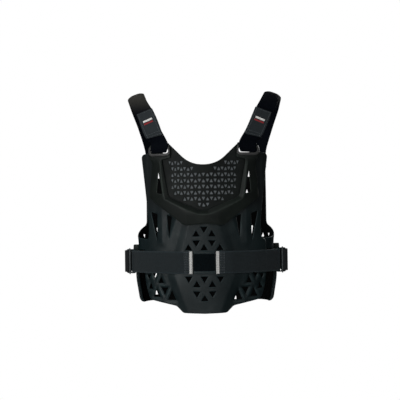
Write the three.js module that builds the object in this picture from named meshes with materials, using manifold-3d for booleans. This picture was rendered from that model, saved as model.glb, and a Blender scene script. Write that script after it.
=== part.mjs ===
// Chest and back protector for sport: a moulded front shell with a faceted chest yoke round a pierced
// vent panel, a back shell with side wings, two shoulder straps and a wide elastic belt.
// Millimetres, +Z up, front towards -Y. Heights are worked out from the hem, and the whole part is then
// lowered so that the origin lies between the straps at the height where they sit on the shoulders.
// "left" and "right" are as seen from the front, so left is -X.

import * as THREE from 'three';
import { mergeVertices } from 'three/addons/utils/BufferGeometryUtils.js';
import Module from 'manifold-3d';

const wasm = await Module();
wasm.setup();

// Driving sizes
const SHOULDER_HEIGHT = 464;
const SHELL_WALL = 3;
const CLEAR = 0.7;
const TORSO = { halfWidth: 146, halfDepth: 104, widest: 0.99 };
const BACK = {
  halfWidth: 150, halfDepth: 96, frontDepth: 74, turn: 132, widestStep: 12, rows: 6, foot: 10, drill: 30,
};
const CELL = { across: 14, up: 20 };
const YOKE_CELL = { across: 12, up: 16 };
const VENT_CELL = { across: 24, up: 45 };
const SPINE = { rise: 6, slope: 0.4 };
const RIDGE = { at: 88, halfWidth: 13, rise: 3, from: 134, full: 152 };
const VENT = { rise: 5, wall: 1.6, margin: 4, lowBelow: 250, postGap: 1.5 };
const LINER = { wall: 2.4, gap: 0.6, margin: 2, top: 352 };
const YOKE = { cap: 17, innerSlope: 0.9, lip: 9, lugRise: 9.8, lugFrom: 312, lugFull: 326 };
const SLOT = { inner: 74, outer: 112, bottom: 335.5, top: 346.5, corner: 2 };
const RIM = { wide: 5, tall: 7, rise: 3, top: 347.5, join: 1 };
const STRAP = {
  thick: 2.2, steps: 48, barClear: 2.4, backClear: 2.6, foldDrop: 7.3, foldTilt: 1.2, sideGap: 1,
};
const TAB = { thick: 1.8, over: 0, clear: 1, steps: 7, side: -1 };
const BELT = { width: 46.5, thick: 2.4, middle: 107, end: 24.5, clear: 0.9, backClear: 2 };
const BELT_STEPS = { front: 30, rear: 22 };
const FOLD = { past: 3, near: 2.2, flat: 1.8 };
const TAPE = { width: 7, thick: 0.8, clear: 0.4 };
const PATCH = { halfWidth: 22, halfHeight: 17.5, thick: 1.4, clear: 0.4, barHeight: 5, barRise: 2.6 };
const BUCKLE = {
  x: 161, y: -13, turn: 52, length: 24, height: 52, thick: 4, bar: 4.5, post: 3, postAt: 2.2, end: 2.2,
  corner: 4, windowCorner: 1,
};
const STOP = {
  length: 14, height: 13, thick: 11.5, bottom: 129, turn: 84, seat: 0.5, bevel: 1, lowCorner: 2, topCorner: 4,
};

// How far the front stands out at each height, added to the torso's half depth.
const FRONT_PROFILE = [
  { z: -10, out: -7 },
  { z: 70, out: 0 },
  { z: 140, out: 0 },
  { z: 230, out: 4 },
  { z: 355, out: -17 },
];

// The same for the back, which is hollow at the waist.
const BACK_PROFILE = [
  { z: 0, out: -3 },
  { z: 110, out: -6 },
  { z: 250, out: 2 },
  { z: 345, out: -9 },
];

// Side wings turn in at the hem and draw in a little above the belt.
const WING_TAPER = [
  { z: 18, scale: 0.908 },
  { z: 21, scale: 0.94 },
  { z: 26, scale: 0.962 },
  { z: 34, scale: 0.973 },
  { z: 80, scale: 1.012 },
  { z: 140, scale: 0.972 },
  { z: 170, scale: 0.985 },
  { z: 350, scale: 1 },
];

// Half outlines from the middle of the bottom edge, up the right side to the middle of the top edge:
// x, height and corner radius.
const FRONT_OUTLINE = [
  [0, 0], [45.5, 1.5, 4], [59.5, 16, 4], [117, 28, 8], [127, 60, 20], [129.5, 110, 20], [128.5, 152, 5],
  [119, 158, 3], [118, 190, 20], [124, 250, 30], [134.5, 334, 9], [107, 339, 2], [107, 248, 8],
  [92, 236, 8], [34, 199, 12],
];
const YOKE_OUTER = [
  [0, 188], [41, 184, 6], [115, 242, 5], [108.5, 315, 6], [117, 330, 4], [117, 348, 5], [109, 356.5, 5],
  [71, 356.5, 2],
];
const YOKE_INNER = [
  [69.5, 326, 2], [88, 322, 2], [74, 244, 8], [9, 216, 6], [0, 215.5],
];
const NECKLINE = [
  [71.5, 355.5, 1], [27, 311, 26],
];

// Edge planes of the yoke's facets: where each starts, how high its edge is and how fast it climbs.
const YOKE_FACETS = [
  { from: [115, 242], to: [108.5, 315], edge: 7, slope: 0.33 },
  { from: [41, 184], to: [115, 242], edge: 10, slope: 0.28 },
  { from: [0, 184], to: [41, 184], edge: 11, slope: 0.24 },
];
const RECESS_EDGES = [
  { from: [88, 323], to: [74, 244] },
  { from: [74, 244], to: [9, 216] },
  { from: [9, 216], to: [-9, 216] },
];
const SPINE_EDGES = [
  { from: [47, -5], to: [78, 77] },
  { from: [78, 77], to: [46, 190] },
];

// Slots cut on both sides: corners with radii.
const YOKE_SLOT = [[94.5, 299, 2], [86, 250, 3.5], [98, 252, 3.5]];
const SIDE_SLOTS = [
  [[98, 208, 2], [112, 213, 2], [99.5, 152, 2]],
  [[67.5, 202, 2], [77, 207, 2], [73.5, 158, 1.5]],
];

// The spine side of each inner slot dips into it, from an upper line down to the slot's own edge.
const DIP = { tip: [73.5, 156], edge: [56, 202], slot: [67.5, 202], depth: 7 };

// Triangular vents down the spine, on the middle line or in pairs.
const SPINE_VENT = { width: 15, height: 12.6 };
const SPINE_VENTS = [
  { x: 0, z: 174.5, up: false },
  { x: 16.3, z: 167.5, up: true },
  { x: 16.3, z: 146.3, up: false },
  { x: 0, z: 138.7, up: true },
  { x: 32.6, z: 138.7, up: true },
  { x: 0, z: 71.3, up: false },
  { x: 33, z: 71.3, up: false },
  { x: 16.2, z: 62.3, up: true },
  { x: 16.2, z: 40.3, up: false },
  { x: 0, z: 33, up: true },
];

// Larger openings of the flank lattices, cut in pairs.
const FLANK_VENTS = [
  { x: 105.5, z: 80.5, width: 12.5, height: 13, up: false },
  { x: 119, z: 76, width: 8, height: 9, up: false },
  { x: 92, z: 70, width: 11, height: 13, up: true },
  { x: 115, z: 57, width: 9, height: 13, up: true },
  { x: 101.5, z: 42.5, width: 15, height: 17, up: true },
  { x: 84.5, z: 46.5, width: 14, height: 15, up: false },
  { x: 69, z: 38.5, width: 17, height: 20, up: true },
];

// Rows of small triangles in the chest vent: columns close up towards the sides.
const MESH = {
  width: 7.2, height: 7.4, rowPitch: 12.5, lowest: 227, pitch: 8.55, closing: 0.145, narrowing: 0.03,
};
const MESH_ROWS = [
  { row: 0, first: 0, last: 1 },
  { row: 1, first: 0, last: 5 },
  { row: 2, first: 0, last: 8 },
  { row: 3, first: 0, last: 9 },
  { row: 4, first: 0, last: 9 },
  { row: 5, first: 0, last: 9 },
  { row: 6, first: 3, last: 9 },
  { row: 7, first: 6, last: 10 },
];

// The back shell, column by column from the spine round to the end of a wing: turn in degrees from the
// spine, top edge and hem.
const BACK_COLUMNS = [
  { turn: 0, top: 298, hem: 10 },
  { turn: 8, top: 301, hem: 10.5 },
  { turn: 15, top: 315, hem: 10.5 },
  { turn: 23, top: 333, hem: 10.5 },
  { turn: 29, top: 341, hem: 11 },
  { turn: 40, top: 341, hem: 14 },
  { turn: 52, top: 341, hem: 17 },
  { turn: 61, top: 336, hem: 18 },
  { turn: 63, top: 184, hem: 18 },
  { turn: 76, top: 174, hem: 18 },
  { turn: 90, top: 162, hem: 18 },
  { turn: 97, top: 159, hem: 19 },
  { turn: 99, top: 158, hem: 132 },
  { turn: 108, top: 156.5, hem: 132 },
  { turn: 122, top: 155, hem: 132 },
  { turn: BACK.turn, top: 151, hem: 135 },
];
const BACK_VENTS = [
  { turn: 39.5, z: 294.5, width: 6, height: 15, up: true },
  { turn: 45.6, z: 293, width: 6, height: 15, up: true },
  { turn: 37.2, z: 255.5, width: 6, height: 9, up: true },
  { turn: 42.4, z: 166, width: 7, height: 26, up: false },
  { turn: 48, z: 169, width: 6, height: 15, up: false },
  { turn: 58, z: 160, width: 13, height: 12, up: true },
  { turn: 69, z: 158, width: 13, height: 12, up: false },
  { turn: 48.5, z: 73, width: 13, height: 13, up: true },
  { turn: 51, z: 37, width: 9, height: 18, up: true },
  { turn: 25.7, z: 20, width: 9, height: 8, up: true },
];

const MATERIALS = {
  shell: { color: 0x23282a, roughness: 0.5, metalness: 0 },
  yoke: { color: 0x22221f, roughness: 0.55, metalness: 0 },
  liner: { color: 0x6a6c70, roughness: 0.85, metalness: 0 },
  webbing: { color: 0x0c0e12, roughness: 0.9, metalness: 0 },
  elastic: { color: 0x25282a, roughness: 0.85, metalness: 0 },
  tab: { color: 0x2a2e33, roughness: 0.8, metalness: 0 },
  tape: { color: 0xe8e8e6, roughness: 0.8, metalness: 0 },
  pile: { color: 0x081012, roughness: 0.95, metalness: 0 },
  buckle: { color: 0x2c2e2f, roughness: 0.45, metalness: 0 },
};

// A smooth curve through a table's rows, read at a height.
function column(rows, name) {
  return (z) => {
    const last = rows.length - 2;
    const found = rows.findIndex((row, i) => i > 0 && z <= row.z);
    const i = found < 0 ? last : found - 1;
    const [a, b] = [rows[i], rows[i + 1]];
    const before = rows[Math.max(i - 1, 0)];
    const after = rows[Math.min(i + 2, last + 1)];
    const t = THREE.MathUtils.clamp((z - a.z) / (b.z - a.z), 0, 1);
    const span = b.z - a.z;
    const leave = ((b[name] - before[name]) / (b.z - before.z)) * span;
    const arrive = ((after[name] - a[name]) / (after.z - a.z)) * span;
    const s = 1 - t;
    const ends = a[name] * s * s * (1 + 2 * t) + b[name] * t * t * (3 - 2 * t);
    return ends + leave * t * s * s - arrive * t * t * s;
  };
}

const frontOut = column(FRONT_PROFILE, 'out');
const backOut = column(BACK_PROFILE, 'out');
const wingScale = column(WING_TAPER, 'scale');

// Distance of a point to the left of an edge.
function besideEdge({ from, to }, x, z) {
  const [dx, dz] = [to[0] - from[0], to[1] - from[1]];
  return (dx * (z - from[1]) - dz * (x - from[0])) / Math.hypot(dx, dz);
}

// Front surfaces, each as y over x and height: the bare torso curve, then what stands out from it.
function torsoFront(x, z) {
  const share = Math.min(Math.abs(x) / TORSO.halfWidth, TORSO.widest);
  return -(TORSO.halfDepth + frontOut(z)) * Math.sqrt(1 - share * share);
}

function shellRise(x, z) {
  const inside = Math.min(...SPINE_EDGES.map((edge) => besideEdge(edge, Math.abs(x), z)));
  const spine = THREE.MathUtils.clamp(inside * SPINE.slope, 0, SPINE.rise);
  const across = Math.max(0, 1 - Math.abs(Math.abs(x) - RIDGE.at) / RIDGE.halfWidth);
  const ridge = RIDGE.rise * across * THREE.MathUtils.smoothstep(z, RIDGE.from, RIDGE.full);
  return spine + ridge;
}

function slotDip(x, z) {
  const half = Math.abs(x);
  const climb = (z - DIP.tip[1]) / (DIP.edge[1] - DIP.tip[1]);
  if (climb <= 0) return 0;
  const start = THREE.MathUtils.lerp(DIP.tip[0], DIP.edge[0], climb);
  const end = THREE.MathUtils.lerp(DIP.tip[0], DIP.slot[0], climb);
  const share = half > end ? 1 - (half - end) / DIP.depth : (half - start) / (end - start);
  return DIP.depth * Math.min(climb, 1) * THREE.MathUtils.clamp(share, 0, 1);
}

function yokeRise(x, z) {
  const half = Math.abs(x);
  const facets = YOKE_FACETS.map((facet) => facet.edge + facet.slope * besideEdge(facet, half, z));
  const pastRecess = Math.max(0, ...RECESS_EDGES.map((edge) => besideEdge(edge, half, z)));
  const inner = VENT.rise + CLEAR + SHELL_WALL + YOKE.innerSlope * pastRecess;
  const lug = THREE.MathUtils.smoothstep(z, YOKE.lugFrom, YOKE.lugFull);
  return THREE.MathUtils.lerp(Math.min(YOKE.cap, inner, ...facets), YOKE.lugRise, lug);
}

const shellCrown = (x, z) => torsoFront(x, z) - shellRise(x, z);
const shellFace = (x, z) => shellCrown(x, z) + slotDip(x, z);
const yokeFace = (x, z) => torsoFront(x, z) - yokeRise(x, z);
const ventFace = (x, z) => torsoFront(x, z) - VENT.rise;

// A wall of even thickness behind a face: deeper along Y where the face leans.
function behind(face, wall) {
  const step = 1;
  return (x, z) => {
    const leanX = (face(x + step, z) - face(x - step, z)) / (2 * step);
    const leanZ = (face(x, z + step) - face(x, z - step)) / (2 * step);
    return face(x, z) + wall * Math.hypot(1, leanX, leanZ);
  };
}

// The yoke's inside: an even wall that thickens at the lower edge until it meets the shell below.
function yokeInside(x, z) {
  const even = behind(yokeFace, SHELL_WALL)(x, z);
  const seat = shellCrown(x, z) - CLEAR;
  const [, diagonal, bottom] = YOKE_FACETS;
  const inset = Math.min(besideEdge(diagonal, Math.abs(x), z), besideEdge(bottom, Math.abs(x), z));
  const share = THREE.MathUtils.smoothstep(inset, 0, YOKE.lip);
  return THREE.MathUtils.lerp(Math.max(seat, even), even, share);
}

// The back shell's outer face at a turn from the spine, moved out along its normal.
function backPoint(turn, z, out = 0) {
  const angle = THREE.MathUtils.degToRad(turn);
  const halfWidth = BACK.halfWidth * wingScale(z);
  const halfDepth = Math.cos(angle) > 0 ? BACK.halfDepth + backOut(z) : BACK.frontDepth;
  const normal = new THREE.Vector2(Math.sin(angle) / halfWidth, Math.cos(angle) / halfDepth).normalize();
  return new THREE.Vector3(
    halfWidth * Math.sin(angle) + out * normal.x,
    halfDepth * Math.cos(angle) + out * normal.y,
    z,
  );
}

// The turn about Z that points something made facing -Y out of the back shell.
function facing(turn, z) {
  const normal = backPoint(turn, z, 1).sub(backPoint(turn, z));
  return Math.atan2(normal.x, -normal.y);
}

// A closed solid from a three.js geometry, turned right side out.
function solid(geometry) {
  const bare = geometry.clone();
  bare.deleteAttribute('uv');
  bare.deleteAttribute('normal');
  const merged = mergeVertices(bare, 1e-4);
  const vertProperties = new Float32Array(merged.attributes.position.array);
  const triVerts = new Uint32Array(merged.index.array);
  let volume = 0;
  const corner = (i) => new THREE.Vector3().fromArray(vertProperties, 3 * triVerts[i]);
  for (let i = 0; i < triVerts.length; i += 3) {
    volume += corner(i).dot(corner(i + 1).cross(corner(i + 2)));
  }
  if (volume < 0) triVerts.reverse();
  return new wasm.Manifold(new wasm.Mesh({ numProp: 3, vertProperties, triVerts }));
}

// A unit box, cut into cells, with each corner of its grid carried to a place by a function.
function warped(cells, place) {
  const geometry = new THREE.BoxGeometry(1, 1, 1, ...cells);
  const position = geometry.attributes.position;
  for (let i = 0; i < position.count; i += 1) {
    const to = place(position.getX(i) + 0.5, position.getY(i) + 0.5, position.getZ(i) + 0.5);
    position.setXYZ(i, to.x, to.y, to.z);
  }
  return geometry;
}

// A curved slab over a rectangle of x and height, between a front and a back face.
function slab(area, cell, front, back) {
  const across = Math.ceil((area.right - area.left) / cell.across);
  const up = Math.ceil((area.top - area.bottom) / cell.up);
  return solid(warped([across, 1, up], (a, b, c) => {
    const x = THREE.MathUtils.lerp(area.left, area.right, a);
    const z = THREE.MathUtils.lerp(area.bottom, area.top, c);
    return new THREE.Vector3(x, b < 0.5 ? front(x, z) : back(x, z), z);
  }));
}

// A path through corner rows of x, height and radius, with round corners.
function outline(corners, path = new THREE.Shape()) {
  const points = corners.map(([x, z]) => new THREE.Vector2(x, z));
  points.forEach((point, i) => {
    const radius = corners[i][2] ?? 0;
    const toward = (other) => other.clone().sub(point).setLength(radius).add(point);
    const start = toward(points.at(i - 1));
    const end = toward(points[(i + 1) % points.length]);
    if (i === 0) path.moveTo(start.x, start.y);
    else path.lineTo(start.x, start.y);
    if (radius) path.quadraticCurveTo(point.x, point.y, end.x, end.y);
  });
  path.closePath();
  return path;
}

const flipped = (corners) => corners.map(([x, z, radius]) => [-x, z, radius]).reverse();
const whole = (half) => [...half, ...flipped(half).filter(([x]) => x !== 0)];

function triangle({ x, z, width, height, up }) {
  const tip = up ? height / 2 : -height / 2;
  return [[x, z + tip], [x - width / 2, z - tip], [x + width / 2, z - tip]];
}

const bothSides = (corners) => [corners, flipped(corners)];
const pairOf = (vent) => (vent.x === 0 ? [triangle(vent)] : bothSides(triangle(vent)));

// A prism along Y through the whole front, with an outline's shape.
function prism(corners) {
  const depth = 2 * TORSO.halfDepth;
  const shape = outline(corners);
  const geometry = new THREE.ExtrudeGeometry(shape, { depth, bevelEnabled: false, curveSegments: 2 });
  return solid(geometry.rotateX(Math.PI / 2));
}

// A wall trimmed to the outline that a half outline and its mirror image make, and cut through.
function trimmed(wall, half, holes = []) {
  return holes.reduce((left, hole) => left.subtract(prism(hole)), wall.intersect(prism(whole(half))));
}

// A ribbon of even thickness between two edges, given as rows of edge points.
const SLOPE_STEP = 0.004;

function ribbon(rows, thick, steps, { from = 0, to = 1, out = 0, over = 0 } = {}) {
  const inner = new THREE.CatmullRomCurve3(rows.map((row) => row.inner));
  const outer = new THREE.CatmullRomCurve3(rows.map((row) => row.outer));
  const middle = (t) => inner.getPoint(t).lerp(outer.getPoint(t), 0.5);
  return warped([1, 1, steps], (a, b, c) => {
    const t = THREE.MathUtils.lerp(from, to, c);
    const start = inner.getPoint(t);
    const across = outer.getPoint(t).sub(start);
    const along = middle(Math.min(t + SLOPE_STEP, 1)).sub(middle(Math.max(t - SLOPE_STEP, 0)));
    const normal = along.cross(across).normalize();
    const length = across.length();
    const share = -over + a * (length + 2 * over);
    return start.addScaledVector(across, share / length).addScaledVector(normal, out + (b - 0.5) * thick);
  });
}

// Front pieces
const frontArea = { left: -140, right: 140, bottom: -10, top: 350 };

function frontShell() {
  const holes = [
    ...SPINE_VENTS.flatMap((vent) => pairOf({ ...SPINE_VENT, ...vent })),
    ...FLANK_VENTS.flatMap(pairOf),
    ...SIDE_SLOTS.flatMap(bothSides),
  ];
  const wall = slab(frontArea, CELL, shellFace, behind(shellFace, SHELL_WALL));
  const bar = (bottom) => slab(
    { left: -PATCH.halfWidth, right: PATCH.halfWidth, bottom, top: bottom + PATCH.barHeight },
    { across: PATCH.halfWidth / 2, up: PATCH.barHeight },
    (x, z) => shellFace(x, z) - PATCH.barRise,
    (x, z) => shellFace(x, z) + SHELL_WALL / 2,
  );
  const above = BELT.middle + PATCH.halfHeight + CLEAR;
  const below = BELT.middle - PATCH.halfHeight - CLEAR - PATCH.barHeight;
  return trimmed(wall, FRONT_OUTLINE, holes).add(bar(above)).add(bar(below));
}

function chestYoke() {
  const outer = [...YOKE_OUTER, ...YOKE_INNER];
  const slot = [
    [SLOT.inner, SLOT.bottom, SLOT.corner], [SLOT.outer, SLOT.bottom, SLOT.corner],
    [SLOT.outer, SLOT.top, SLOT.corner], [SLOT.inner, SLOT.top, SLOT.corner],
  ];
  const holes = [...bothSides(YOKE_SLOT), ...bothSides(slot)];
  const area = { left: -126, right: 126, bottom: 170, top: 362 };
  const plate = trimmed(slab(area, YOKE_CELL, yokeFace, yokeInside), outer, holes);
  const rim = (left, right, bottom, top) => slab(
    { left, right, bottom, top },
    YOKE_CELL,
    (x, z) => yokeFace(x, z) - RIM.rise,
    (x, z) => yokeFace(x, z) + SHELL_WALL / 2,
  );
  const inside = SLOT.inner - RIM.wide;
  const outside = SLOT.outer + RIM.wide;
  const rims = [-1, 1].flatMap((side) => [
    [inside, outside, SLOT.bottom - RIM.tall, SLOT.bottom],
    [inside, SLOT.inner, SLOT.bottom - RIM.join, RIM.top],
    [SLOT.outer, outside, SLOT.bottom - RIM.join, RIM.top],
  ].map(([a, b, bottom, top]) => {
    const [left, right] = side > 0 ? [a, b] : [-b, -a];
    return rim(left, right, bottom, top);
  }));
  return rims.reduce((joined, piece) => joined.add(piece), plate);
}

// The recess's own outline, let out by a margin, with the neckline on top.
function ventOutline(margin) {
  const sides = YOKE_INNER.slice(1).map(([x, z, radius]) => {
    const shift = x === 0 ? 0 : margin;
    return [x + shift, z - (z < VENT.lowBelow ? margin : 0), radius];
  }).reverse();
  const post = SLOT.inner - VENT.postGap;
  const [[, shoulder, radius]] = YOKE_INNER;
  const [[, tip, tipRadius], ...neck] = NECKLINE;
  return [...sides, [post, shoulder, radius], [post, tip, tipRadius], ...neck];
}

function meshHoles() {
  const holes = [];
  for (const { row, first, last } of MESH_ROWS) {
    for (let step = first; step <= last; step += 1) {
      const vent = {
        x: step * (MESH.pitch - MESH.closing * step),
        z: MESH.lowest + row * MESH.rowPitch,
        width: MESH.width * (1 - MESH.narrowing * step),
        height: MESH.height,
        up: (row + step) % 2 === 0,
      };
      holes.push(...pairOf(vent));
    }
  }
  return holes;
}

const ventArea = { left: -96, right: 96, bottom: 200, top: 380 };

function chestVent() {
  const wall = slab(ventArea, VENT_CELL, ventFace, behind(ventFace, VENT.wall));
  return trimmed(wall, ventOutline(VENT.margin), meshHoles());
}

function ventLiner() {
  const inside = behind(ventFace, VENT.wall + LINER.gap);
  const backing = behind(ventFace, VENT.wall + LINER.gap + LINER.wall);
  const half = ventOutline(LINER.margin).map(([x, z, radius]) => [x, Math.min(z, LINER.top), radius]);
  return trimmed(slab(ventArea, VENT_CELL, inside, backing), half);
}

// Back shell: a wrapped wall, column by column, with a low first row for its turned-in hem and vents cut
// square to its face.
function backShell() {
  const half = BACK_COLUMNS.flatMap((row, i) => {
    const next = BACK_COLUMNS[i + 1];
    const halfway = (key) => [key, (row[key] + next[key]) / 2];
    const wide = next && next.turn - row.turn > BACK.widestStep;
    return wide ? [row, Object.fromEntries(Object.keys(row).map(halfway))] : [row];
  });
  const columns = [...half.slice(1).map((row) => ({ ...row, turn: -row.turn })).reverse(), ...half];
  const wall = solid(warped([columns.length - 1, 1, BACK.rows], (a, b, c) => {
    const row = columns[Math.round(a * (columns.length - 1))];
    const step = Math.round(c * BACK.rows);
    const share = (step - 1) / (BACK.rows - 1);
    const z = step === 0 ? row.hem : THREE.MathUtils.lerp(row.hem + BACK.foot, row.top, share);
    return backPoint(row.turn, z, b < 0.5 ? -SHELL_WALL : 0);
  }));
  const cutters = BACK_VENTS.flatMap((vent) => [-1, 1].map((side) => {
    const shape = outline(triangle({ ...vent, x: 0, z: 0 }));
    const drill = new THREE.ExtrudeGeometry(shape, { depth: BACK.drill, bevelEnabled: false });
    drill.translate(0, 0, -BACK.drill / 2);
    const at = backPoint(side * vent.turn, vent.z);
    const turn = facing(side * vent.turn, vent.z);
    return solid(drill.rotateX(Math.PI / 2).rotateZ(turn).translate(at.x, at.y, at.z));
  }));
  return cutters.reduce((left, cutter) => left.subtract(cutter), wall);
}

// Shoulder straps, right side, from the back shell over the shoulder, down behind the slot's top bar,
// round it and up again in front. Edge points on the bar and the back follow those faces.
const point = (x, y, z) => new THREE.Vector3(x, y, z);
const onBack = (turn, z) => backPoint(turn, z, STRAP.backClear + STRAP.thick / 2);
const onBar = (x, z, out) => point(x, yokeFace(x, z) - out, z);
const barFront = STRAP.barClear + STRAP.thick / 2;
const barBack = -(SHELL_WALL + STRAP.barClear + STRAP.thick / 2);
const barMiddle = (barFront + barBack) / 2;
const foldLow = SLOT.top - CLEAR - STRAP.thick / 2 - STRAP.foldDrop;
const strapEnds = { inner: SLOT.inner + STRAP.sideGap, outer: SLOT.outer - STRAP.sideGap };

const STRAP_ROWS = [
  { inner: onBack(39, 306), outer: onBack(60, 306) },
  { inner: onBack(39, 324), outer: onBack(60, 324) },
  { inner: onBack(39, 342), outer: onBack(60, 342) },
  { inner: point(110, 68, 398), outer: point(147, 54, 391) },
  { inner: point(124, 44, 445), outer: point(161, 38, 432) },
  { inner: point(132, 6, 472), outer: point(167.5, 6, 459) },
  { inner: point(122.5, -33, 452), outer: point(157.5, -29, 438.5) },
  { inner: point(104.5, -57, 418), outer: point(138.5, -49, 404.5) },
  { inner: point(87, -68, 377), outer: point(121, -57, 366) },
  { inner: onBar(strapEnds.inner, 357, barBack), outer: onBar(strapEnds.outer, 357, barBack) },
  { inner: onBar(strapEnds.inner, 346, barBack), outer: onBar(strapEnds.outer, 346, barBack) },
  {
    inner: onBar(strapEnds.inner, foldLow + STRAP.foldTilt, barMiddle),
    outer: onBar(strapEnds.outer, foldLow, barMiddle),
  },
  { inner: onBar(strapEnds.inner, 346, barFront), outer: onBar(strapEnds.outer, 346, barFront) },
  { inner: onBar(strapEnds.inner, 357, barFront), outer: onBar(strapEnds.outer, 357, barFront) },
  { inner: point(90, -82, 385), outer: point(124, -70, 373) },
  { inner: point(105.5, -65, 421), outer: point(139, -57, 407.5) },
  { inner: point(109.5, -57.5, 431), outer: point(143.5, -51, 418.5) },
];

// The tab lies on the last steps of the folded strap, on the side of the ribbon that faces the front.
function shoulderStrap(side) {
  return solid(ribbon(STRAP_ROWS, STRAP.thick, STRAP.steps).scale(side, 1, 1));
}

function strapTab(side) {
  const out = STRAP.thick / 2 + TAB.clear + TAB.thick / 2;
  const span = { from: 1 - TAB.steps / STRAP.steps, out: TAB.side * out, over: TAB.over };
  return solid(ribbon(STRAP_ROWS, TAB.thick, TAB.steps, span).scale(side, 1, 1));
}

// Belt, right side, from its front end round the flank to the buckle's front bar and back under itself.
const upright = (x, y) => ({
  inner: point(x, y, BELT.middle - BELT.width / 2),
  outer: point(x, y, BELT.middle + BELT.width / 2),
});
const beltHeights = [-0.5, -0.25, 0, 0.25, 0.5].map((share) => BELT.middle + share * BELT.width);
const beltSeat = (x) => Math.min(...beltHeights.map((z) => shellFace(x, z))) - BELT.clear;
const onShell = (x) => upright(x, beltSeat(x) - BELT.thick / 2);
const buckleAxis = new THREE.Vector2(
  Math.sin(THREE.MathUtils.degToRad(BUCKLE.turn)),
  Math.cos(THREE.MathUtils.degToRad(BUCKLE.turn)),
);

function besideBuckle(along, out) {
  return upright(
    BUCKLE.x + along * buckleAxis.x + out * buckleAxis.y,
    BUCKLE.y + along * buckleAxis.y - out * buckleAxis.x,
  );
}

const barReach = BUCKLE.length / 2 - BUCKLE.bar / 2;
const wrap = {
  along: BUCKLE.bar / 2 + CLEAR + BELT.thick / 2,
  out: BUCKLE.thick / 2 + CLEAR + BELT.thick / 2,
};

// Round a bar of the buckle, from outside to inside: where the bar lies and which way its window is.
const roundBar = (bar, window) => [
  besideBuckle(bar - window * FOLD.past, wrap.out),
  besideBuckle(bar + window * FOLD.near, wrap.out),
  besideBuckle(bar + window * wrap.along, FOLD.flat),
  besideBuckle(bar + window * wrap.along, -FOLD.flat),
  besideBuckle(bar + window * FOLD.near, -wrap.out),
  besideBuckle(bar - window * FOLD.past, -wrap.out),
];
const BELT_ROWS = [
  ...[BELT.end, 40, 55, 66, 76, 86, 98, 110, 120].map(onShell),
  upright(131, -50.8),
  upright(143, -37.5),
  ...roundBar(-barReach, 1),
  upright(142, -27),
];

const REAR_ROWS = [
  ...roundBar(barReach, -1).reverse(),
  upright(174.3, 0),
  upright(169.5, 18),
  upright(155, 43),
  ...[56, 48, 42].map((turn) => {
    const at = backPoint(turn, BELT.middle, BELT.backClear + BELT.thick / 2);
    return upright(at.x, at.y);
  }),
];

function belt(rows, steps, side) {
  return solid(ribbon(rows, BELT.thick, steps).scale(side, 1, 1));
}

function beltTape(side) {
  const middle = side * (BELT.end + TAPE.width / 2);
  const area = {
    left: middle - TAPE.width / 2, right: middle + TAPE.width / 2,
    bottom: BELT.middle - BELT.width / 2, top: BELT.middle + BELT.width / 2,
  };
  const under = (x) => beltSeat(x) - BELT.thick - TAPE.clear;
  return slab(area, { across: TAPE.width, up: BELT.width }, (x) => under(x) - TAPE.thick, under);
}

function beltPatch() {
  const area = {
    left: -PATCH.halfWidth, right: PATCH.halfWidth,
    bottom: BELT.middle - PATCH.halfHeight, top: BELT.middle + PATCH.halfHeight,
  };
  const under = (x, z) => shellFace(x, z) - PATCH.clear;
  const cell = { across: PATCH.halfWidth / 2, up: 2 * PATCH.halfHeight };
  return slab(area, cell, (x, z) => under(x, z) - PATCH.thick, under);
}

// Frame buckle with two windows, standing square to the body at the side.
function sideBuckle(side) {
  const { length, height, thick, bar, post, postAt, end, corner, windowCorner } = BUCKLE;
  const frame = (from, to, halfTall, radius) => [
    [from, -halfTall, radius], [to, -halfTall, radius], [to, halfTall, radius], [from, halfTall, radius],
  ];
  const shape = outline(frame(-length / 2, length / 2, height / 2, corner));
  const windows = [[bar - length / 2, postAt - post / 2], [postAt + post / 2, length / 2 - bar]];
  shape.holes = windows.map(([from, to]) => (
    outline(frame(from, to, height / 2 - end, windowCorner), new THREE.Path())
  ));
  const plate = new THREE.ExtrudeGeometry(shape, { depth: thick, bevelEnabled: false, curveSegments: 2 });
  plate.translate(0, 0, -thick / 2).rotateX(Math.PI / 2);
  plate.rotateZ(Math.PI / 2 - THREE.MathUtils.degToRad(BUCKLE.turn));
  return solid(plate.translate(BUCKLE.x, BUCKLE.y, BELT.middle).scale(side, 1, 1));
}

// Small block on the wing above the belt.
function beltStop(side) {
  const shape = outline([
    [-STOP.length / 2, 0, STOP.lowCorner], [STOP.length / 2, 0, STOP.lowCorner],
    [STOP.length / 2, STOP.height, STOP.topCorner], [-STOP.length / 2, STOP.height, STOP.topCorner],
  ]);
  const block = new THREE.ExtrudeGeometry(shape, {
    depth: STOP.thick - 2 * STOP.bevel,
    bevelEnabled: true,
    bevelSize: STOP.bevel,
    bevelOffset: -STOP.bevel,
    bevelThickness: STOP.bevel,
    bevelSegments: 1,
    curveSegments: 2,
  });
  const at = backPoint(STOP.turn, STOP.bottom, STOP.seat + STOP.bevel);
  block.rotateX(Math.PI / 2).rotateZ(facing(STOP.turn, STOP.bottom)).translate(at.x, at.y, at.z);
  return solid(block.scale(side, 1, 1));
}

// Assembly
const armor = new THREE.Group();
const hung = new THREE.Group();
hung.position.z = -SHOULDER_HEIGHT;
armor.add(hung);

function add(name, body, material) {
  const { vertProperties, triVerts } = body.getMesh();
  const geometry = new THREE.BufferGeometry();
  geometry.setAttribute('position', new THREE.BufferAttribute(vertProperties, 3));
  geometry.setIndex(new THREE.BufferAttribute(triVerts, 1));
  geometry.computeVertexNormals();
  const mesh = new THREE.Mesh(geometry, new THREE.MeshStandardMaterial(MATERIALS[material]));
  mesh.name = name;
  hung.add(mesh);
}

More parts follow.
